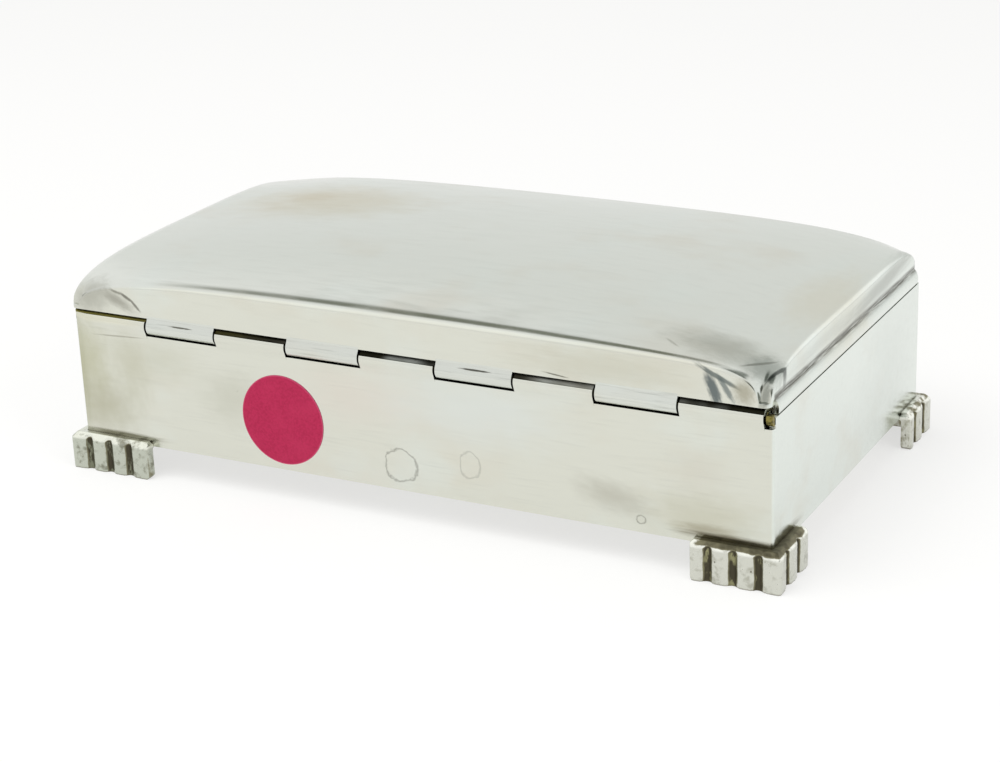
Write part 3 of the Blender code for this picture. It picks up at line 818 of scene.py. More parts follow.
@dataclass(frozen=True)
class Joint:
    """The nine knuckles, five soldered to the case and four to the lid, and the fillers at the corners.

    Attributes:
        ledge_angle: how high a case knuckle's polished face reaches, in degrees about the hinge line.
        face_stop: how far under that its round part stops, in degrees.
        lip: the steps of the ledge's edge, as falls in metres and turns in degrees.
        ledge_drop: how far the recess over the ledge, painted dark as shade, lies under the knuckle's round.
        recess: the angles from the ledge to the recess's start, and of the recess's end.
        filler_shares: how high and low the filler's inner face reaches, in shares of its radius.
        filed_share: how much faster than the length the last knuckle's filing goes.
        filed_power: how late it sets in.
    """

    steps: int = 10
    ledge_angle: float = 27.0
    last_ledge_angle: float = 38.0
    face_stop: float = 4.0
    lip: tuple[Point, ...] = ((0.04 * MM, 0.0), (0.12 * MM, 2.865))
    ledge_drop: float = 0.25 * MM
    recess: Point = (5.0, 292.0)
    wall_solder: Solder = Solder(-20.0, -1, 3.2 * MM, 0.45, 0.72)
    solder_sink: float = 0.03 * MM
    apron_solder: Solder = Solder(36.0, 1, 2.5 * MM, 0.3, 0.86)
    flange: float = 0.5 * MM
    end_round: float = 0.1 * MM
    knuckle_gap: float = 0.42 * MM
    filler_gap: float = 0.3 * MM
    filler_round: float = 0.25 * MM
    filler_drop: float = 0.35 * MM
    filler_angles: Point = (-74.0, 26.0)
    filler_shares: Point = (0.44, -0.96)
    filed_length: float = 4 * MM
    filed_steps: int = 14
    filed_share: float = 1.4
    filed_power: float = 1.5

    def case_outline(self, ledge_angle: float) -> list[Point]:
        """The outline of a case knuckle about the hinge line, with solder down to the wall.

        Args:
            ledge_angle: how high its polished face reaches, in degrees about the hinge line.

        Returns:
            Its points as Y and Z from the hinge line, from the foot of the solder up and round.
        """
        radius = SIZES.knuckle_radius
        solder = self.wall_solder.points(SIZES.wall_face - self.solder_sink, self.steps)
        outline = solder[::-1]
        outline += arc(radius, self.wall_solder.angle, ledge_angle - self.face_stop, self.steps)
        outline += [polar(radius - fall, ledge_angle + turn) for fall, turn in self.lip]
        first, last = self.recess
        return outline + arc(radius - self.ledge_drop, ledge_angle + first, last, 4 * self.steps)

    def lid_outline(self) -> list[Point]:
        """The outline of a lid knuckle about the hinge line, with solder up to the apron.

        Returns:
            Its points as Y and Z from the hinge line.
        """
        solder = self.apron_solder
        face = SIZES.wall_face + TINY
        outline = arc(SIZES.knuckle_radius, -270.0, solder.angle, 5 * self.steps)[1:]
        return outline + solder.points(face, self.steps) + [(face - self.flange, solder.reach)]

    def tube(self, outline: list[Point], low: float, high: float) -> Mesh:
        """A bored knuckle of some outline.

        Args:
            outline: Y and Z from the hinge line.
            low: its lower X.
            high: its higher X.

        Returns:
            The mesh.
        """
        shape = bmesh.new()
        bore = [tuple(Vector(spot).normalized() * SIZES.knuckle_bore) for spot in outline]
        edges = loop_of(shape, by_hinge(low, outline)) + loop_of(shape, by_hinge(low, bore))
        ring = bmesh.ops.bridge_loops(shape, edges=edges)["faces"]
        return raise_faces(shape, ring, Vector((high - low, 0.0, 0.0)))

    def darken_recess(self, shape: Mesh, ledge_angle: float) -> None:
        """Gives the faces of a case knuckle that lie above its polished face the second material, a
        near-black painted shade.

        Args:
            shape: the knuckle.
            ledge_angle: how high its polished face reaches, in degrees about the hinge line.
        """
        for face in shape.faces:
            place = face.calc_center_median() - Vector((0.0, SIZES.hinge_y, SIZES.seam_z))
            turn = math.degrees(math.atan2(place.z, place.y))
            if turn > ledge_angle and abs(face.normal.x) < 0.5:
                face.material_index = 1

    def build(self, silver: Material, wiped: Material, tarnish: Material, brass: Material) -> None:
        """Builds the knuckles and the fillers.

        Args:
            silver: the case knuckles' finish.
            wiped: the lid knuckles' finish.
            tarnish: the finish of the recess under the apron, a near-black painted shade.
            brass: the bare filler's finish.
        """
        pitch = 2 * SIZES.joint_half_length / SIZES.knuckle_count
        for index in range(SIZES.knuckle_count):
            middle = (index - (SIZES.knuckle_count - 1) / 2) * pitch
            low = middle - pitch / 2 + self.knuckle_gap / 2
            high = middle + pitch / 2 - self.knuckle_gap / 2
            number = index // 2 + 1
            last = index == SIZES.knuckle_count - 1
            if index % 2 == 1:
                shape = self.tube(self.lid_outline(), low, high)
                knuckle = piece_from(shape, f"lid_tube_{number}", wiped, sharp=True)
                body, nodes = "lid", [f"lid_knuckle_{number}"]
            else:
                ledge_angle = self.last_ledge_angle if last else self.ledge_angle
                high = SIZES.half_length - TINY if last else high
                shape = self.tube(self.case_outline(ledge_angle), low, high)
                self.darken_recess(shape, ledge_angle)
                if last:
                    self.file_end(shape)
                knuckle = piece_from(shape, f"case_knuckle_{number}", silver, tarnish, sharp=True)
                body, nodes = "case", [f"body_knuckle_{number}"] + ["right_joint_filler"] * last
            round_edges(knuckle, self.end_round, 2, 60.0)
            report(knuckle, body, *nodes)
        low = TINY - SIZES.half_length
        length = SIZES.half_length - TINY - SIZES.joint_half_length - self.filler_gap / 2
        shape = prism(by_hinge(low, self.filler_outline()), Vector((length, 0.0, 0.0)))
        filler = piece_from(shape, "brass_filler", brass, sharp=True)
        round_edges(filler, self.filler_round, 3, 40.0)
        report(filler, "case", "left_joint_filler")

    def file_end(self, shape: Mesh) -> None:
        """Files the right end of the last case knuckle down to the wall's face and rounds its corner.

        Args:
            shape: the knuckle.
        """
        start = SIZES.half_length - self.filed_length
        for step in range(self.filed_steps):
            share = math.sin(math.pi / 2 * step / self.filed_steps)
            cut(shape, (start + self.filed_length * share, 0.0, 0.0), (1.0, 0.0, 0.0))
        corner = SIZES.case_corner
        for vert in shape.verts:
            share = (vert.co.x - start) / self.filed_length
            proud = vert.co.y - SIZES.half_width
            if share > 0 and proud > 0:
                vert.co.y -= proud * min(share * self.filed_share, 1.0) ** self.filed_power
            over = min(vert.co.x - (SIZES.half_length - corner), corner)
            if over > 0:
                arm = math.sqrt(corner ** 2 - over ** 2)
                vert.co.y = min(vert.co.y, SIZES.half_width - corner + arm)
        shape.normal_update()

    def filler_outline(self) -> list[Point]:
        """The outline of a filler: the rear of a knuckle, flush with the wall below.

        Returns:
            Its points as Y and Z from the hinge line.
        """
        radius = SIZES.knuckle_radius - self.filler_drop
        inner = [(SIZES.fit_gap, radius * share) for share in self.filler_shares]
        return arc(radius, *self.filler_angles, 2 * self.steps) + inner


@dataclass(frozen=True)
class Lid:
    """The cushion-domed pressing and the rounded moulding under its front and ends.

    The sizes with a share or power in their names shape how the arches, the crown and the falls run out.
    """

    crease_rise: float = 11.4 * MM
    front_corner_rise: float = 4.2 * MM
    rear_corner_rise: float = 3 * MM
    crown_rise: float = 3.5 * MM
    end_sag: float = 0.9 * MM
    rear_drop: float = 1.2 * MM
    rear_drop_power: float = 2.2
    rear_lift_share: float = 0.45
    left_drop: float = 1.5 * MM
    left_drop_power: float = 4
    crease_roll: float = 0.95 * MM
    roll_width: float = 2.8 * MM
    roll_growth: float = 0.8 * MM
    corner_radius: float = 1.6 * MM
    long_set_in: float = 2.2 * MM
    short_set_in: float = 1 * MM
    offset: float = 0.8 * MM
    long_power: float = 5.5
    rear_left_power: float = 15
    short_power: float = 4.4
    root_share: float = 0.4
    crown_power: float = 2.2
    roll_limit_share: float = 0.35
    roll_steps: int = 12
    growth: float = 1.16
    widest_step: float = 2.2 * MM
    sheet: float = 0.8 * MM
    edge_round: float = 0.2 * MM
    band_height: float = 3 * MM
    band_depth: float = 2 * MM
    band_bulge: float = 0.8 * MM
    band_stop_share: float = 0.7
    band_steps: int = 10
    band_curves: tuple[tuple[Point, ...], ...] = (
        ((0.78, 0.0), (1.0, 0.02), (1.06, 0.28), (1.0, 0.45)),
        ((1.0, 0.45), (0.85, 0.72), (0.5, 0.9), (0.0, 1.0)),
    )
    filed_length: float = 3 * MM

    def stations(self, half: float) -> list[float]:
        """Places across the lid, close together over the roll at its edge.

        Args:
            half: half the lid's length or width.

        Returns:
            The places from one edge to the other.
        """
        depths = [self.roll_width * (1 - math.cos(math.radians(90 * step / self.roll_steps)))
                  for step in range(self.roll_steps + 1)]
        step = depths[-1] - depths[-2]
        while depths[-1] + step * self.growth < half - step:
            step = min(step * self.growth, self.widest_step)
            depths.append(depths[-1] + step)
        falling = [depth - half for depth in depths]
        return falling + [0.0] + [-place for place in reversed(falling)]

    def height(self, x: float, y: float) -> float:
        """The height of the lid's top: four arched edges, pinched down at the corners, under a crown.

        Args:
            x: the place along the lid from its middle.
            y: the place across it.

        Returns:
            The height in metres.
        """
        u, v = abs(x) / SIZES.half_length, abs(y) / SIZES.half_width
        arch_u = min(abs(x) / (SIZES.half_length - self.long_set_in), 1.0)
        arch_v = min(abs(y) / (SIZES.half_width - self.short_set_in), 1.0)
        toward_rear = (1 + y / SIZES.half_width) / 2
        long_power = self.long_power
        if x < 0:
            long_power += (self.rear_left_power - self.long_power) * toward_rear ** 3
        rise = self.front_corner_rise + (self.rear_corner_rise - self.front_corner_rise) * toward_rear
        corner = SIZES.seam_z + rise
        arch = (1 - arch_u ** long_power * arch_v ** self.short_power) ** self.root_share
        crown = self.crown_rise * (1 - u ** self.crown_power) * (1 - v ** self.crown_power)
        crease = SIZES.seam_z + self.crease_rise
        height = corner + (crease - corner) * arch + crown - self.end_sag * u ** 2 * arch
        to_left = max(-x / SIZES.half_length, 0.0) ** self.left_drop_power
        height -= arch * self.left_drop * to_left * (1 - v ** 2)
        lift = 1 - self.rear_lift_share * max(x / SIZES.half_length, 0.0) ** 2
        height -= arch * self.rear_drop * lift * max(y / SIZES.half_width, 0.0) ** self.rear_drop_power
        limit = min(self.crease_roll, self.roll_limit_share * (height - SIZES.apron_foot))
        long_width = self.roll_width + self.roll_growth * x / SIZES.half_length
        # How much of its fall the rolled edge has made, from the nearer of the two sides.
        fallen = max(1 - math.sqrt(1 - max(1 - depth / width, 0.0) ** 2) for depth, width in (
            (SIZES.half_length - abs(x), self.roll_width), (SIZES.half_width - abs(y), long_width)))
        return height - fallen * limit

    def on_corner(self, x: float, y: float) -> Point:
        """Moves a place in the corner square onto the rounded corner.

        Args:
            x: its X from the lid's middle.
            y: its Y.

        Returns:
            The new X and Y.
        """
        straight_x = SIZES.half_length - self.corner_radius
        straight_y = SIZES.half_width - self.corner_radius
        over_x, over_y = abs(x) - straight_x, abs(y) - straight_y
        if over_x <= 0 or over_y <= 0:
            return x, y
        pull = max(over_x, over_y) / math.hypot(over_x, over_y)
        return math.copysign(straight_x + over_x * pull, x), math.copysign(straight_y + over_y * pull, y)

    @property
    def band_stop(self) -> float:
        """The Y at which the moulding stops, in front of the joint."""
        return SIZES.hinge_y - self.band_stop_share * SIZES.channel

    @property
    def band_foot(self) -> float:
        """The height of the moulding's lower edge."""
        return SIZES.seam_z + TINY

    def build_dome(self, silver: Material, inside: Material) -> None:
        """Builds the pressing: a grid raised to the lid's top, its rim drawn down, with its thickness.

        Args:
            silver: its finish.
            inside: the finish of its inner side.
        """
        across, along = self.stations(SIZES.half_length), self.stations(SIZES.half_width)
        shape = bmesh.new()
        bmesh.ops.create_grid(shape, x_segments=len(across) - 1, y_segments=len(along) - 1, size=1.0)
        for vert in shape.verts:
            x = across[round((vert.co.x + 1) / 2 * (len(across) - 1))]
            y = along[round((vert.co.y + 1) / 2 * (len(along) - 1))]
            height = self.height(x, y)
            x, y = self.on_corner(x, y)
            vert.co = (x + self.offset, y, height)
        rim = [edge for edge in shape.edges if edge.is_boundary]
        for vert in only(bmesh.ops.extrude_edge_only(shape, edges=rim)["geom"], Vert):
            behind = vert.co.y > self.band_stop
            vert.co.z = SIZES.apron_foot if behind else self.band_foot + self.band_height
        bmesh.ops.recalc_face_normals(shape, faces=shape.faces)
        inner = bmesh.ops.solidify(shape, geom=shape.faces[:], thickness=self.sheet)["geom"]
        for face in only(inner, Face):
            face.material_index = 1
        # The inner edge of the rear apron is filed away for the knuckles.
        for vert in only(inner, Vert):
            from_hinge = Vector((vert.co.y - SIZES.hinge_y, vert.co.z - SIZES.seam_z))
            if vert.co.y > self.band_stop and from_hinge.length < SIZES.channel:
                vert.co.z = SIZES.seam_z + math.sqrt(SIZES.channel ** 2 - from_hinge.x ** 2)
        dome = piece_from(shape, "lid_dome", silver, inside)
        round_edges(dome, self.edge_round, 3, 50.0)
        report(dome, "lid", "lid_shell")

    def band_outline(self) -> list[Point]:
        """The moulding's section as its depth outward from the lid's face and its height.

        Returns:
            Its points, from the foot of its back round its face to the top of its back.
        """
        back = self.band_bulge - self.band_depth
        outline = [(back, 0.0), (self.band_bulge * self.band_curves[0][0][0], 0.0)]
        for shares in self.band_curves:
            corners = tuple((out * self.band_bulge, up * self.band_height) for out, up in shares)
            outline += curve(corners, self.band_steps)
        return outline + [(back, self.band_height)]

    def build_moulding(self, silver: Material) -> None:
        """Builds the moulding: its section drawn along the ends and the front and turned at the corners.

        Args:
            silver: its finish.
        """
        left = self.offset - SIZES.half_length
        right = self.offset + SIZES.half_length
        turn_x = (left + self.corner_radius, right - self.corner_radius)
        turn_y = self.corner_radius - SIZES.half_width
        shape = bmesh.new()
        ends = loop_of(shape, [
            Vector((left - out, self.band_stop, self.band_foot + up)) for out, up in self.band_outline()])
        bmesh.ops.contextual_create(shape, geom=ends)
        legs = (
            (Vector((0.0, turn_y - self.band_stop, 0.0)), turn_x[0]),
            (Vector((turn_x[1] - turn_x[0], 0.0, 0.0)), turn_x[1]),
            (Vector((0.0, self.band_stop - turn_y, 0.0)), None),
        )
        for step, centre in legs:
            drawn = bmesh.ops.extrude_edge_only(shape, edges=ends)["geom"]
            bmesh.ops.translate(shape, vec=step, verts=only(drawn, Vert))
            ends = only(drawn, Edge)
            if centre is not None:
                turned = bmesh.ops.spin(
                    shape, geom=ends, cent=(centre, turn_y, 0.0), axis=(0.0, 0.0, 1.0),
                    angle=math.pi / 2, steps=self.band_steps, use_duplicate=False)["geom_last"]
                ends = only(turned, Edge)
        bmesh.ops.contextual_create(shape, geom=ends)
        bmesh.ops.remove_doubles(shape, verts=shape.verts, dist=TINY / 10)
        # Near the joint the right end is filed down to the wall's face.
        cut(shape, (0.0, self.band_stop - self.filed_length, 0.0), (0.0, 1.0, 0.0))
        for vert in shape.verts:
            share = (vert.co.y - self.band_stop) / self.filed_length + 1
            if share > 0 and vert.co.x > SIZES.half_length:
                vert.co.x -= (vert.co.x - SIZES.half_length) * share
        bmesh.ops.recalc_face_normals(shape, faces=shape.faces)
        report(piece_from(shape, "lid_moulding", silver, sharp=True), "lid", "lid_base_band")


@dataclass(frozen=True)
class Foot:
    """A cast angle foot: rounded ribs with deep flutes between them, on a ledge that goes under the case.

    Attributes:
        name: the piece's name.
        node: the CAD node that it stands for.
        side_x: the end it stands at, -1 or 1.
        side_y: the side it stands at, -1 or 1.
        long_arm: the length of its arm along X.
        short_arm: the length of its arm along Y.
        solder_drop: how far under the rim the solder between it and the wall lies.
        solder_tarnish: how tarnished that solder is, from 0 to 1.
    """

    name: str
    node: str
    side_x: int
    side_y: int
    long_arm: float
    short_arm: float
    solder_drop: float = 0.12 * MM
    solder_tarnish: float = 0.5
    proud: float = 2.6 * MM
    thickness: float = 2.3 * MM
    lap: float = 1.3 * MM
    corner: float = 0.9 * MM
    end_corner: float = 0.8 * MM
    end_cut: float = 0.7 * MM
    end_tarnish: float = 0.12
    end_blend: float = 1.8 * MM
    end_blend_least: float = 0.15
    ledge_trim: float = 3.5 * MM
    solder_bite: float = 0.15 * MM
    solder_start: float = 0.3 * MM
    solder_blend: float = 0.35 * MM
    tarnish_start: float = 0.33 * MM
    tarnish_blend: float = 0.45 * MM
    inside_depth: float = 1.3 * MM
    inside_tarnish: float = 0.2
    chamfer: float = 1.2 * MM
    chamfer_rise: float = 1.3 * MM
    flute_depth: float = 0.9 * MM
    flute_half: float = 1.1 * MM
    flute_power: float = 1.05
    rib_edge: float = 0.28 * MM
    rib_power: float = 2.6
    first_flute: float = 4.7 * MM
    long_pitch: float = 5.2 * MM
    long_count: int = 3
    short_pitch: float = 5.8 * MM
    short_count: int = 2
    ledge: float = 1.5 * MM
    ledge_reach: float = 4 * MM
    sample: float = 0.1 * MM
    voxel: float = 0.18 * MM

    @property
    def top(self) -> float:
        """The height of its rim."""
        return SIZES.raise_z + self.lap

    def depth(self, place: float, arm: float, pitch: float, count: int) -> float:
        """How deep the ribbed face lies at a place along an arm.

        Args:
            place: the distance from the outer corner.
            arm: the arm's length.
            pitch: the distance between its flutes.
            count: how many flutes it has.

        Returns:
            The depth below the ribs' crowns.
        """
        edges = [self.flute_half - self.first_flute]
        for flute in [self.first_flute + index * pitch for index in range(count)]:
            away = abs(place - flute)
            if away < self.flute_half:
                bowl = math.cos(math.pi / 2 * away / self.flute_half) ** self.flute_power
                return self.rib_edge + (self.flute_depth - self.rib_edge) * bowl
            edges += [flute - self.flute_half, flute + self.flute_half]
        edges.append(arm)
        low = max(edge for edge in edges if edge <= place)
        high = min((edge for edge in edges if edge >= place), default=arm)
        share = abs(2 * (place - low) / max(high - low, TINY) - 1)
        depth = self.rib_edge * share ** self.rib_power
        over = place - (arm - self.end_corner)
        if over > 0:
            depth += self.end_corner - math.sqrt(max(self.end_corner ** 2 - over ** 2, 0.0))
        return depth

    def ribs(self, arm: float, pitch: float, count: int) -> list[Point]:
        """The ribbed face of an arm.

        Args:
            arm: the arm's length.
            pitch: the distance between its flutes.
            count: how many flutes it has.

        Returns:
            Places from the corner out and their depths.
        """
        steps = round((arm - self.corner) / self.sample)
        places = [self.corner + (arm - self.corner) * step / steps for step in range(steps + 1)]
        return [(place, self.depth(place, arm, pitch, count)) for place in places]

    def outline(self) -> list[Point]:
        """The angle's outline, its outer corner near the origin and its arms along +X and +Y.

        Returns:
            Its points in order.
        """
        inside = self.thickness
        points = self.ribs(self.long_arm, self.long_pitch, self.long_count)[::-1]
        points += arc(self.corner, 270, 180, 8, (self.corner, self.corner))[1:-1]
        short = self.ribs(self.short_arm, self.short_pitch, self.short_count)
        points += [(depth, place) for place, depth in short]
        return points + [(inside, self.short_arm), (inside, inside), (self.long_arm, inside)]

    def inner_strip(self, end: float, trim: float) -> list[Point]:
        """The outline of an angle strip that starts at the block's inside.

        Args:
            end: the depth at which it ends.
            trim: how much shorter it is than the arms.

        Returns:
            Its points in order.
        """
        start = self.thickness - SIZES.fit_gap
        long_arm, short_arm = self.long_arm - trim, self.short_arm - trim
        return [(start, start), (long_arm, start), (long_arm, end), (end, end), (end, short_arm),
                (start, short_arm)]

    def block(self) -> Mesh:
        """The ribbed angle, its rim sloped by a plane along each arm and its ends cut at the corners.

        Returns:
            The mesh.
        """
        shape = prism([Vector((x, y, 0.0)) for x, y in self.outline()], Vector((0.0, 0.0, self.top)))
        up = Vector((0.0, 0.0, 1.0))
        arms = (Vector((0.0, 1.0, 0.0)), self.short_arm), (Vector((1.0, 0.0, 0.0)), self.long_arm)
        for out, _ in arms:
            slope = up * self.chamfer - out * self.chamfer_rise
            cut(shape, up * (self.top - self.chamfer_rise), slope, fill=True)
        for out, arm in reversed(arms):
            for level, way in ((0.0, -1.0), (self.top, 1.0)):
                cut(shape, out * (arm - self.end_cut) + up * level, out + up * way, fill=True)
        bmesh.ops.recalc_face_normals(shape, faces=shape.faces)
        return shape

    def tarnish_at(self, place: Vector) -> float:
        """How tarnished the casting is at a place, from 0 on the ribs to 1 in the flutes.

        Args:
            place: the place, before the foot is set at its corner.

        Returns:
            The tarnish.
        """
        rise = place.z - (self.top - self.chamfer_rise)
        slope = clamp(rise, 0.0, self.chamfer_rise) * self.chamfer / self.chamfer_rise
        depth = min(place.x, place.y) - slope
        share = clamp((depth - self.tarnish_start) / self.tarnish_blend)
        if depth > self.inside_depth:
            share = self.inside_tarnish
        from_end = min(self.long_arm - place.x, self.short_arm - place.y)
        kept = clamp((from_end - self.end_corner) / self.end_blend, self.end_blend_least)
        solder = clamp((rise - self.solder_start) / self.solder_blend) * self.solder_tarnish * kept
        if from_end < self.end_corner:
            return min(max(share, solder), self.end_tarnish)
        return solder if rise > self.solder_start + self.solder_blend else max(share, solder)

    def build(self, silver: Material) -> None:
        """Builds the foot: the block, its ledge and its solder, softened as a casting is.

        Args:
            silver: its finish.
        """
        foot = piece_from(self.block(), self.name, silver)
        ledge_top = SIZES.raise_z - SIZES.fit_gap
        bite = self.proud + self.solder_bite
        strips = (
            ("_ledge", self.proud + self.ledge_reach, ledge_top - self.ledge, ledge_top, self.ledge_trim),
            ("_solder", bite, ledge_top - TINY, self.top - self.solder_drop, self.end_corner),
            ("_end_solder", bite, ledge_top - TINY, self.top - self.end_cut, TINY),
        )
        guides = []
        for suffix, end, low, high, trim in strips:
            places = [Vector((x, y, low)) for x, y in self.inner_strip(end, trim)]
            guides.append(piece_from(prism(places, Vector((0.0, 0.0, high - low))), self.name + suffix))
            union = foot.modifiers.new(suffix, "BOOLEAN")
            union.operation = "UNION"
            union.object = guides[-1]
        remesh = foot.modifiers.new("cast", "REMESH")
        remesh.mode = "VOXEL"
        remesh.voxel_size = self.voxel
        remesh.use_smooth_shade = True
        smooth = foot.modifiers.new("soft", "SMOOTH")
        smooth.factor = 0.5
        smooth.iterations = 3
        settle(foot)
        for guide in guides:
            bpy.data.objects.remove(guide)
        values = [self.tarnish_at(vert.co) for vert in foot.data.vertices]
        foot.data.attributes.new(TARNISH, "FLOAT", "POINT").data.foreach_set("value", values)
        corner = Matrix.Translation((
            self.side_x * (SIZES.half_length + self.proud), self.side_y * (SIZES.half_width + self.proud),
            0.0))
        foot.data.transform(corner @ Matrix.Diagonal((-self.side_x, -self.side_y, 1.0, 1.0)))
        if self.side_x * self.side_y < 0:
            foot.data.flip_normals()
        report(foot, "case", self.node)


@dataclass(frozen=True)
class PaperDisc:
    """The blank round paper disc on the rear wall."""

    x: float = 28.3 * MM
    z: float = 18.2 * MM
    radius: float = 9.85 * MM
    thickness: float = 0.11 * MM
    steps: int = 96

    @property
    def middle(self) -> Triple:
        """The middle of its back."""
        return self.x, SIZES.half_width + TINY, self.z

    def build(self, paper: Material) -> None:
        """Builds the disc.

        Args:
            paper: its finish.
        """
        shape = bmesh.new()
        place = Matrix.Translation(self.middle) @ Matrix.Rotation(-math.pi / 2, 4, "X")
        bmesh.ops.create_circle(
            shape, cap_ends=True, segments=self.steps, radius=self.radius, matrix=place)
        raise_faces(shape, shape.faces[:], Vector((0.0, self.thickness, 0.0)))
        label = piece_from(shape, "paper_disc", paper)
        round_edges(label, self.thickness / 3, 2)
        report(label, "case")


# The sky's soft boxes as the metal shows them: direction, stretch, outer and inner reach, and tone.
CARDS = (
    ((0.0, -0.92, 0.34), (0.5, 1.0, 1.0), 0.52, 0.34, (0.86, 0.87, 0.86, 1.0)),
    ((0.43, -0.45, 0.82), (0.75, 1.0, 1.0), 0.26, 0.12, (0.21, 0.22, 0.18, 1.0)),
    ((-0.12, -0.24, 0.96), (1.0, 1.0, 1.0), 0.31, 0.16, (0.20, 0.22, 0.20, 1.0)),
    ((-0.62, 0.44, 0.64), (1.0, 1.0, 1.0), 0.46, 0.30, (0.13, 0.14, 0.12, 1.0)),
    ((0.42, 0.28, 0.86), (1.0, 1.0, 1.0), 0.42, 0.26, (1.15, 1.15, 1.13, 1.0)),
    ((-0.38, -0.84, 0.36), (1.0, 1.0, 1.0), 0.32, 0.20, (1.15, 1.15, 1.15, 1.0)),
)
# The lamps: name, place, size and power.
LAMPS = (
    ("over_lamp", (0.25, 0.35, 0.9), 0.8, 5.2),
    ("side_lamp", (-0.9, 0.3, 0.6), 0.6, 2.4),
)


@dataclass(frozen=True)
class Studio:
    """The camera at the photograph's angle, the pale floor, the sky and the lamps."""

    azimuth: float = 208.21
    elevation: float = 19.967
    roll: float = -2.252
    stand: Triple = (-0.022 * MM, 13.765 * MM, 503.213 * MM)
    sensor: float = 36.0
    focal_length: float = 82.569
    shift: Point = (-0.002268, -0.026263)
    floor_size: float = 6.0
    floor_colour: str = "FAFAF8"
    floor_white: float = 0.62
    sky_colour: str = "FFFEFC"
    sky_strength: float = 0.62

    def place_camera(self) -> None:
        """Makes the scene's camera."""
        azimuth, elevation, roll = map(math.radians, (self.azimuth, self.elevation, self.roll))
        back = Vector((
            math.sin(azimuth) * math.cos(elevation), -math.cos(azimuth) * math.cos(elevation),
            math.sin(elevation)))
        right = Vector((0.0, 0.0, 1.0)).cross(back).normalized()
        up = back.cross(right)
        level, tilt = math.cos(roll), math.sin(roll)
        right, up = right * level + up * tilt, up * level - right * tilt
        place = right * self.stand[0] + up * self.stand[1] + back * self.stand[2]
        place.z += SIZES.raise_z
        lens = bpy.data.cameras.new("camera")
        lens.sensor_width = self.sensor
        lens.lens = self.focal_length
        lens.shift_x, lens.shift_y = self.shift
        camera = bpy.data.objects.new("camera", lens)
        turned = Matrix((right, up, back)).transposed().to_4x4()
        camera.matrix_world = Matrix.Translation(place) @ turned
        bpy.context.scene.collection.objects.link(camera)
        bpy.context.scene.camera = camera

    def lay_floor(self) -> None:
        """Lays the floor, which shows white to the camera and in the metal and keeps the shadow."""
        material = bpy.data.materials.new("pale_floor")
        material.use_nodes = True
        material.node_tree.nodes.clear()
        nodes = Tree(material.node_tree)
        plain = nodes.add("ShaderNodeBsdfDiffuse", {"Color": linear(self.floor_colour)})
        white = nodes.add("ShaderNodeEmission", {"Color": WHITE, "Strength": 1.0})
        rays = nodes.add("ShaderNodeLightPath").outputs
        seen = nodes.calc("MAXIMUM", rays["Is Camera Ray"], rays["Is Glossy Ray"])
        both = nodes.blend(nodes.calc("MULTIPLY", seen, self.floor_white), plain, white)
        nodes.add("ShaderNodeOutputMaterial", {0: both})
        shape = bmesh.new()
        bmesh.ops.create_grid(shape, x_segments=1, y_segments=1, size=self.floor_size / 2)
        piece_from(shape, "floor", material)

    def hang_sky(self) -> None:
        """Makes the world: plain light for matt things, and white with soft boxes for the metal."""
        world = bpy.data.worlds.new("studio")
        bpy.context.scene.world = world
        world.use_nodes = True
        world.node_tree.nodes.clear()
        nodes = Tree(world.node_tree)
        way = nodes.add("ShaderNodeTexCoord").outputs["Generated"]
        colour = WHITE
        for middle, stretch, outer, inner, tone in CARDS:
            away = nodes.length(nodes.move("MULTIPLY", nodes.move("SUBTRACT", way, middle), stretch))
            colour = nodes.mix(nodes.fade(away, outer, inner), colour, tone)
        shown, white, plain = (
            nodes.add("ShaderNodeBackground", {"Color": tone, "Strength": strength})
            for tone, strength in (
                (colour, 1.0), (WHITE, 1.0), (linear(self.sky_colour), self.sky_strength)))
        rays = nodes.add("ShaderNodeLightPath").outputs
        metal = nodes.calc("MAXIMUM", rays["Is Glossy Ray"], rays["Is Transmission Ray"])
        first = nodes.blend(metal, plain, shown)
        both = nodes.add(
            "ShaderNodeMixShader", {0: rays["Is Camera Ray"], 1: first, 2: white.outputs[0]})
        nodes.add("ShaderNodeOutputWorld", {0: both.outputs[0]})

    def hang_lamps(self) -> None:
        """Hangs two large soft lamps over the box. The metal shows the sky's soft boxes instead."""
        for name, place, size, power in LAMPS:
            light = bpy.data.lights.new(name, "AREA")
            light.size = size
            light.energy = power
            lamp = bpy.data.objects.new(name, light)
            lamp.location = place
            lamp.rotation_euler = (-Vector(place)).to_track_quat("-Z", "Y").to_euler()
            lamp.visible_glossy = False
            bpy.context.scene.collection.objects.link(lamp)

    def build(self) -> None:
        """Sets up the whole studio and the plain view transform."""
        self.place_camera()
        self.lay_floor()
        self.hang_sky()
        self.hang_lamps()
        bpy.context.scene.view_settings.view_transform = "Standard"


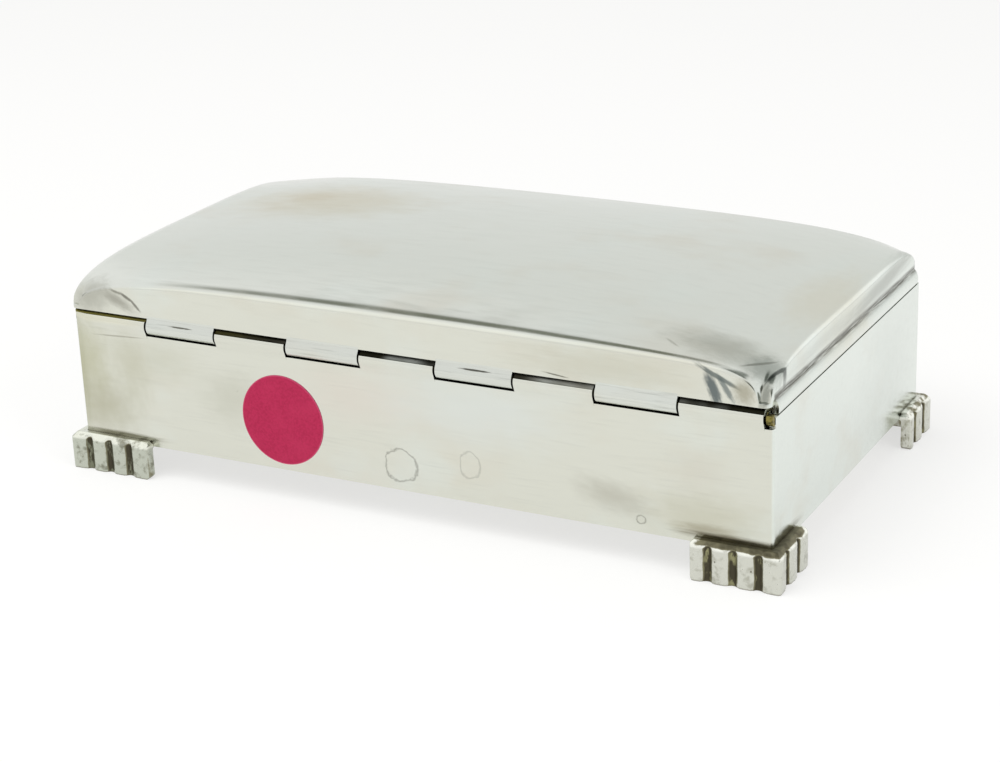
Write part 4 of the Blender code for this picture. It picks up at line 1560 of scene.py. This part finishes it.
LID_STAINS_AND_REFLECTIONS = (
    Stain((49, -14, 48), (19, 12, 30), "C6BB9B", 0.60, 0.7),
    Stain((56, -17, 48), (6, 4, 30), "C0B08C", 0.40, 0.7),
    Stain((-75, 2, 46), (6, 15, 30), "D3CDB8", 0.45, 0.7),
    Stain((-45, 43.5, 40), (16, 3, 3.5), "C3BFAC", 0.50, 0.8),
    Stain((-57.4, 37.8, 45.4), (0.3, 2.0, 4), "8A8A7E", 0.40, 0.5, (0, 0, 55)),
    # Near the left rear corner: darker shading on the top, dark lines along its dent, blue-grey bars and
    # lighter and darker strips on the apron: painted reflections.
    Stain((-67, 35.5, 44), (10, 4.5, 6), "96978A", 0.60, 0.8, (0, 0, -14)),
    Stain((-76.4, 38, 42.5), (3.8, 3.4, 4), "8B928A", 0.70, 0.6, (0, 0, 35)),
    Stain((-78.6, 37.4, 42), (0.35, 4.6, 4), "3F4440", 0.80, 0.4, (0, 0, -18)),
    Stain((-74.9, 37.7, 43.2), (0.35, 3.6, 4), "62645A", 0.60, 0.4, (0, 0, -42)),
    Stain((-68.1, 43.5, 38.7), (1.1, 3, 3.6), "49565A", 0.85, 0.45, (0, 22, 0)),
    Stain((-70.6, 43.5, 39.2), (0.6, 3, 2.8), "5F6B6C", 0.75, 0.45, (0, 33, 0)),
    Stain((-69.2, 43.5, 41.3), (4.6, 3, 0.5), "55605F", 0.80, 0.4, (0, -24, 0)),
    Stain((-74.2, 43.5, 38.9), (1.9, 3, 2.2), "96907A", 0.65, 0.7, (0, 30, 0)),
    # Near the right rear corner: a dark curved line with darker smudges round it: painted reflection.
    Stain((68.4, 43.5, 41.4), (1.6, 3, 0.30), "6A685C", 0.70, 0.6, (0, -14, 0)),
    Stain((65.8, 43.5, 40.5), (1.7, 3, 0.36), "5F5D52", 0.80, 0.5, (0, -30, 0)),
    Stain((63.6, 43.5, 38.9), (1.7, 3, 0.32), "5F5D52", 0.75, 0.5, (0, -46, 0)),
    Stain((68.5, 43.5, 39.6), (4.2, 3, 1.2), "96958A", 0.75, 0.8, (0, -24, 0)),
    Stain((75.5, 43.5, 39.5), (4.5, 5, 3.4), "A6A69B", 0.70, 0.8),
    Stain((-35.4, 43.5, 37.1), (2.6, 3, 0.16), "5B594C", 0.75, 0.4, (0, -6, 0)),
    Stain((-79.2, -20, 40.6), (3, 22, 1.8), "A0A39C", 0.65, 0.7, (-4, 0, 0)),
    Stain((-79.2, 14, 40.2), (3, 20, 1.4), "B4B7B0", 0.35, 0.7, (-2, 0, 0)),
    # A dark band on the rounded left rear corner: painted reflection.
    Stain((-77.9, 42.6, 38.8), (0.9, 2.4, 3.2), "70756C", 0.70, 0.6),
)
KNUCKLE_STAINS = (
    Stain((-17.9, 43.9, 35.7), (3.4, 3, 0.18), "3C3A30", 0.90, 0.3),
    Stain((52.0, 43.9, 35.5), (2.8, 3, 0.16), "4B493C", 0.85, 0.3),
)
WALL_STAINS_AND_HIGHLIGHT = (
    Ring((0.4, 43.5, 12.4), (3.9, 9, 3.7), "7F8077", 0.55, 0.10),
    Ring((-15.6, 43.5, 15.0), (2.4, 9, 3.0), "7F8077", 0.30, 0.12),
    Ring((-52.9, 43.5, 9.7), (1.0, 9, 0.9), "7F8077", 0.60, 0.28),
    Stain((78, 43, 24), (5.5, 9, 9), "B3B292", 0.60, 0.9),
    Stain((74, 43, 14.5), (7, 9, 5.5), "B2B09A", 0.65, 0.9),
    Stain((66, 43, 24), (3.5, 9, 7), "BAB9A2", 0.45, 0.9, (0, 12, 0)),
    Stain((79.5, 43, 20), (1.2, 4, 16), "A6A78A", 0.40, 0.9),
    Stain((-66, 43, 12), (11, 5, 4.5), "BAB79F", 0.45, 0.9),
    Stain((-66.5, 43, 9.9), (5.5, 5, 1.0), "948C72", 0.60, 0.9),
    Stain((-71, 43, 8.7), (9.0, 5, 0.75), "5F5742", 0.85, 0.6),
    Stain((-80, 37, 8.8), (5, 6.5, 0.9), "6A6650", 0.70, 0.7),
    # A pale strip along the top lip of the last case knuckle: painted highlight.
    Stain((72, 43.5, 35), (10, 3, 0.7), "E2DFC6", 0.45, 0.6),
    Stain((-47, 43, 13.5), (6.5, 5, 2.6), "B3B1A4", 0.60, 0.9, (0, -12, 0)),
    Stain((-65, 43, 22), (5, 5, 4), "C9C3B4", 0.30, 0.9),
    Stain((40, 43, 21), (7, 5, 5), "BDBDAE", 0.45, 0.9),
    Stain((60, 43, 27), (9, 5, 4), "C3C2AF", 0.45, 0.9),
    Stain((70, 43.5, 8.7), (9.5, 5, 0.6), "66624A", 0.75, 0.6),
    Stain((10, 43.5, 26), (13, 5, 5), "DBD3C9", 0.50, 0.9),
    Stain((-17, 43.5, 27), (16, 5, 6), "D9DEDA", 0.70, 0.9),
    Stain((68.5, 43.5, 31.4), (6, 5, 0.18), "9A988A", 0.60, 0.4, (0, 3, 0)),
    Stain((-80, -24, 20), (4, 15, 12), "D2D8D2", 0.65, 0.9),
)
# A lighter olive patch in the recess's painted shade, towards +X.
RECESS_SHADE_PATCHES = (Stain((72, 43, 36), (26, 12, 12), "8A8342", 0.85, 0.7),)


@dataclass
class CigaretteBox:
    """The whole box: its finishes and its sub-assemblies in the order in which they are built."""

    walls: CaseWalls = field(default_factory=CaseWalls)
    joint: Joint = field(default_factory=Joint)
    lid: Lid = field(default_factory=Lid)
    disc: PaperDisc = field(default_factory=PaperDisc)
    feet: tuple[Foot, ...] = (
        Foot("rear_left_casting", "rear_left_foot", -1, 1, 18.9 * MM, 15.5 * MM),
        Foot("rear_right_casting", "rear_right_foot", 1, 1, 20.4 * MM, 17.2 * MM, 0.1 * MM, 0.04),
        Foot("front_left_casting", "front_left_foot", -1, -1, 20.6 * MM, 14.6 * MM, 0.1 * MM, 0.22),
        Foot("front_right_casting", "front_right_foot", 1, -1, 22 * MM, 18.6 * MM),
    )

    def dress_nodes(self, silver: Material, brass: Material) -> None:
        """Gives the CAD nodes that stay their finishes.

        Args:
            silver: the plate's and the bearers' finish.
            brass: the pin's finish.
        """
        long_grain = Cedar("cedar_along_length", Grain.ALONG_LENGTH).build()
        wide_grain = Cedar("cedar_along_width", Grain.ALONG_WIDTH).build()
        dressed = (
            (silver, ("bottom_plate", "case_hinge_bearer", "lid_hinge_bearer")),
            (brass, ("hinge_pin",)),
            (long_grain, ("cedar_floor", "cedar_front_board", "cedar_rear_board")),
            (wide_grain, ("cedar_left_board", "cedar_right_board", "cedar_divider")),
        )
        for finish, names in dressed:
            for name in names:
                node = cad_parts[name]
                node.data.materials.clear()
                node.data.materials.append(finish)
                LOG.info("%s keeps its CAD shape in %s", name, finish.name)

    def build(self) -> None:
        """Builds every piece of the box."""
        wall_silver = SilverPlate(
            "polished_silver_plate_walls", crevice="5A543E", crevice_reach=0.75 * MM,
            stains_and_painted_light=WALL_STAINS_AND_HIGHLIGHT).build()
        lid_silver = SilverPlate(
            "polished_silver_plate_lid", crevice="3E3C33", wiped=0.07, lined=True,
            stains_and_painted_light=LID_STAINS_AND_REFLECTIONS).build()
        knuckle_silver = SilverPlate(
            "wiped_silver_plate_knuckles", base="D8DBD6", rear="D4D7D0", wiped=0.40,
            stains_and_painted_light=KNUCKLE_STAINS).build()
        # The recess over the case knuckles is painted near black: painted shade under the apron, lighter and
        # olive towards +X.
        recess = SilverPlate(
            "recess_painted_shade", base="26251B", rear="26251B", ends="26251B", roughness=0.6,
            stains_and_painted_light=RECESS_SHADE_PATCHES).build()
        inside = SilverPlate(
            "soft_silver_plate_inside", base="D0CFC4", rear="D0CFC4", ends="D0CFC4", roughness=0.3).build()
        brass = AgedBrass("aged_brass").build()
        cast = CastSilver("cast_silver_plate_satin").build()
        dull = CastSilver(
            "cast_silver_plate_dull", base="C0C4B7", rim="E6E8DC", worn_sheen="8C8F7A", blotch="6A6955",
            blotched=0.7).build()
        self.walls.build(wall_silver)
        self.joint.build(wall_silver, knuckle_silver, recess, brass)
        self.lid.build_dome(lid_silver, inside)
        self.lid.build_moulding(lid_silver)
        for foot in self.feet:
            foot.build(dull if foot.side_x > 0 else cast)
        self.disc.build(LabelPaper("crimson_paper", self.disc.middle, self.disc.radius).build())
        self.dress_nodes(inside, brass)


def main() -> None:
    """Builds the studio and the box, and logs each piece."""
    logging.basicConfig(level=logging.INFO, format="%(name)s: %(message)s")
    Studio().build()
    CigaretteBox().build()


if __name__ == "__main__":
    main()
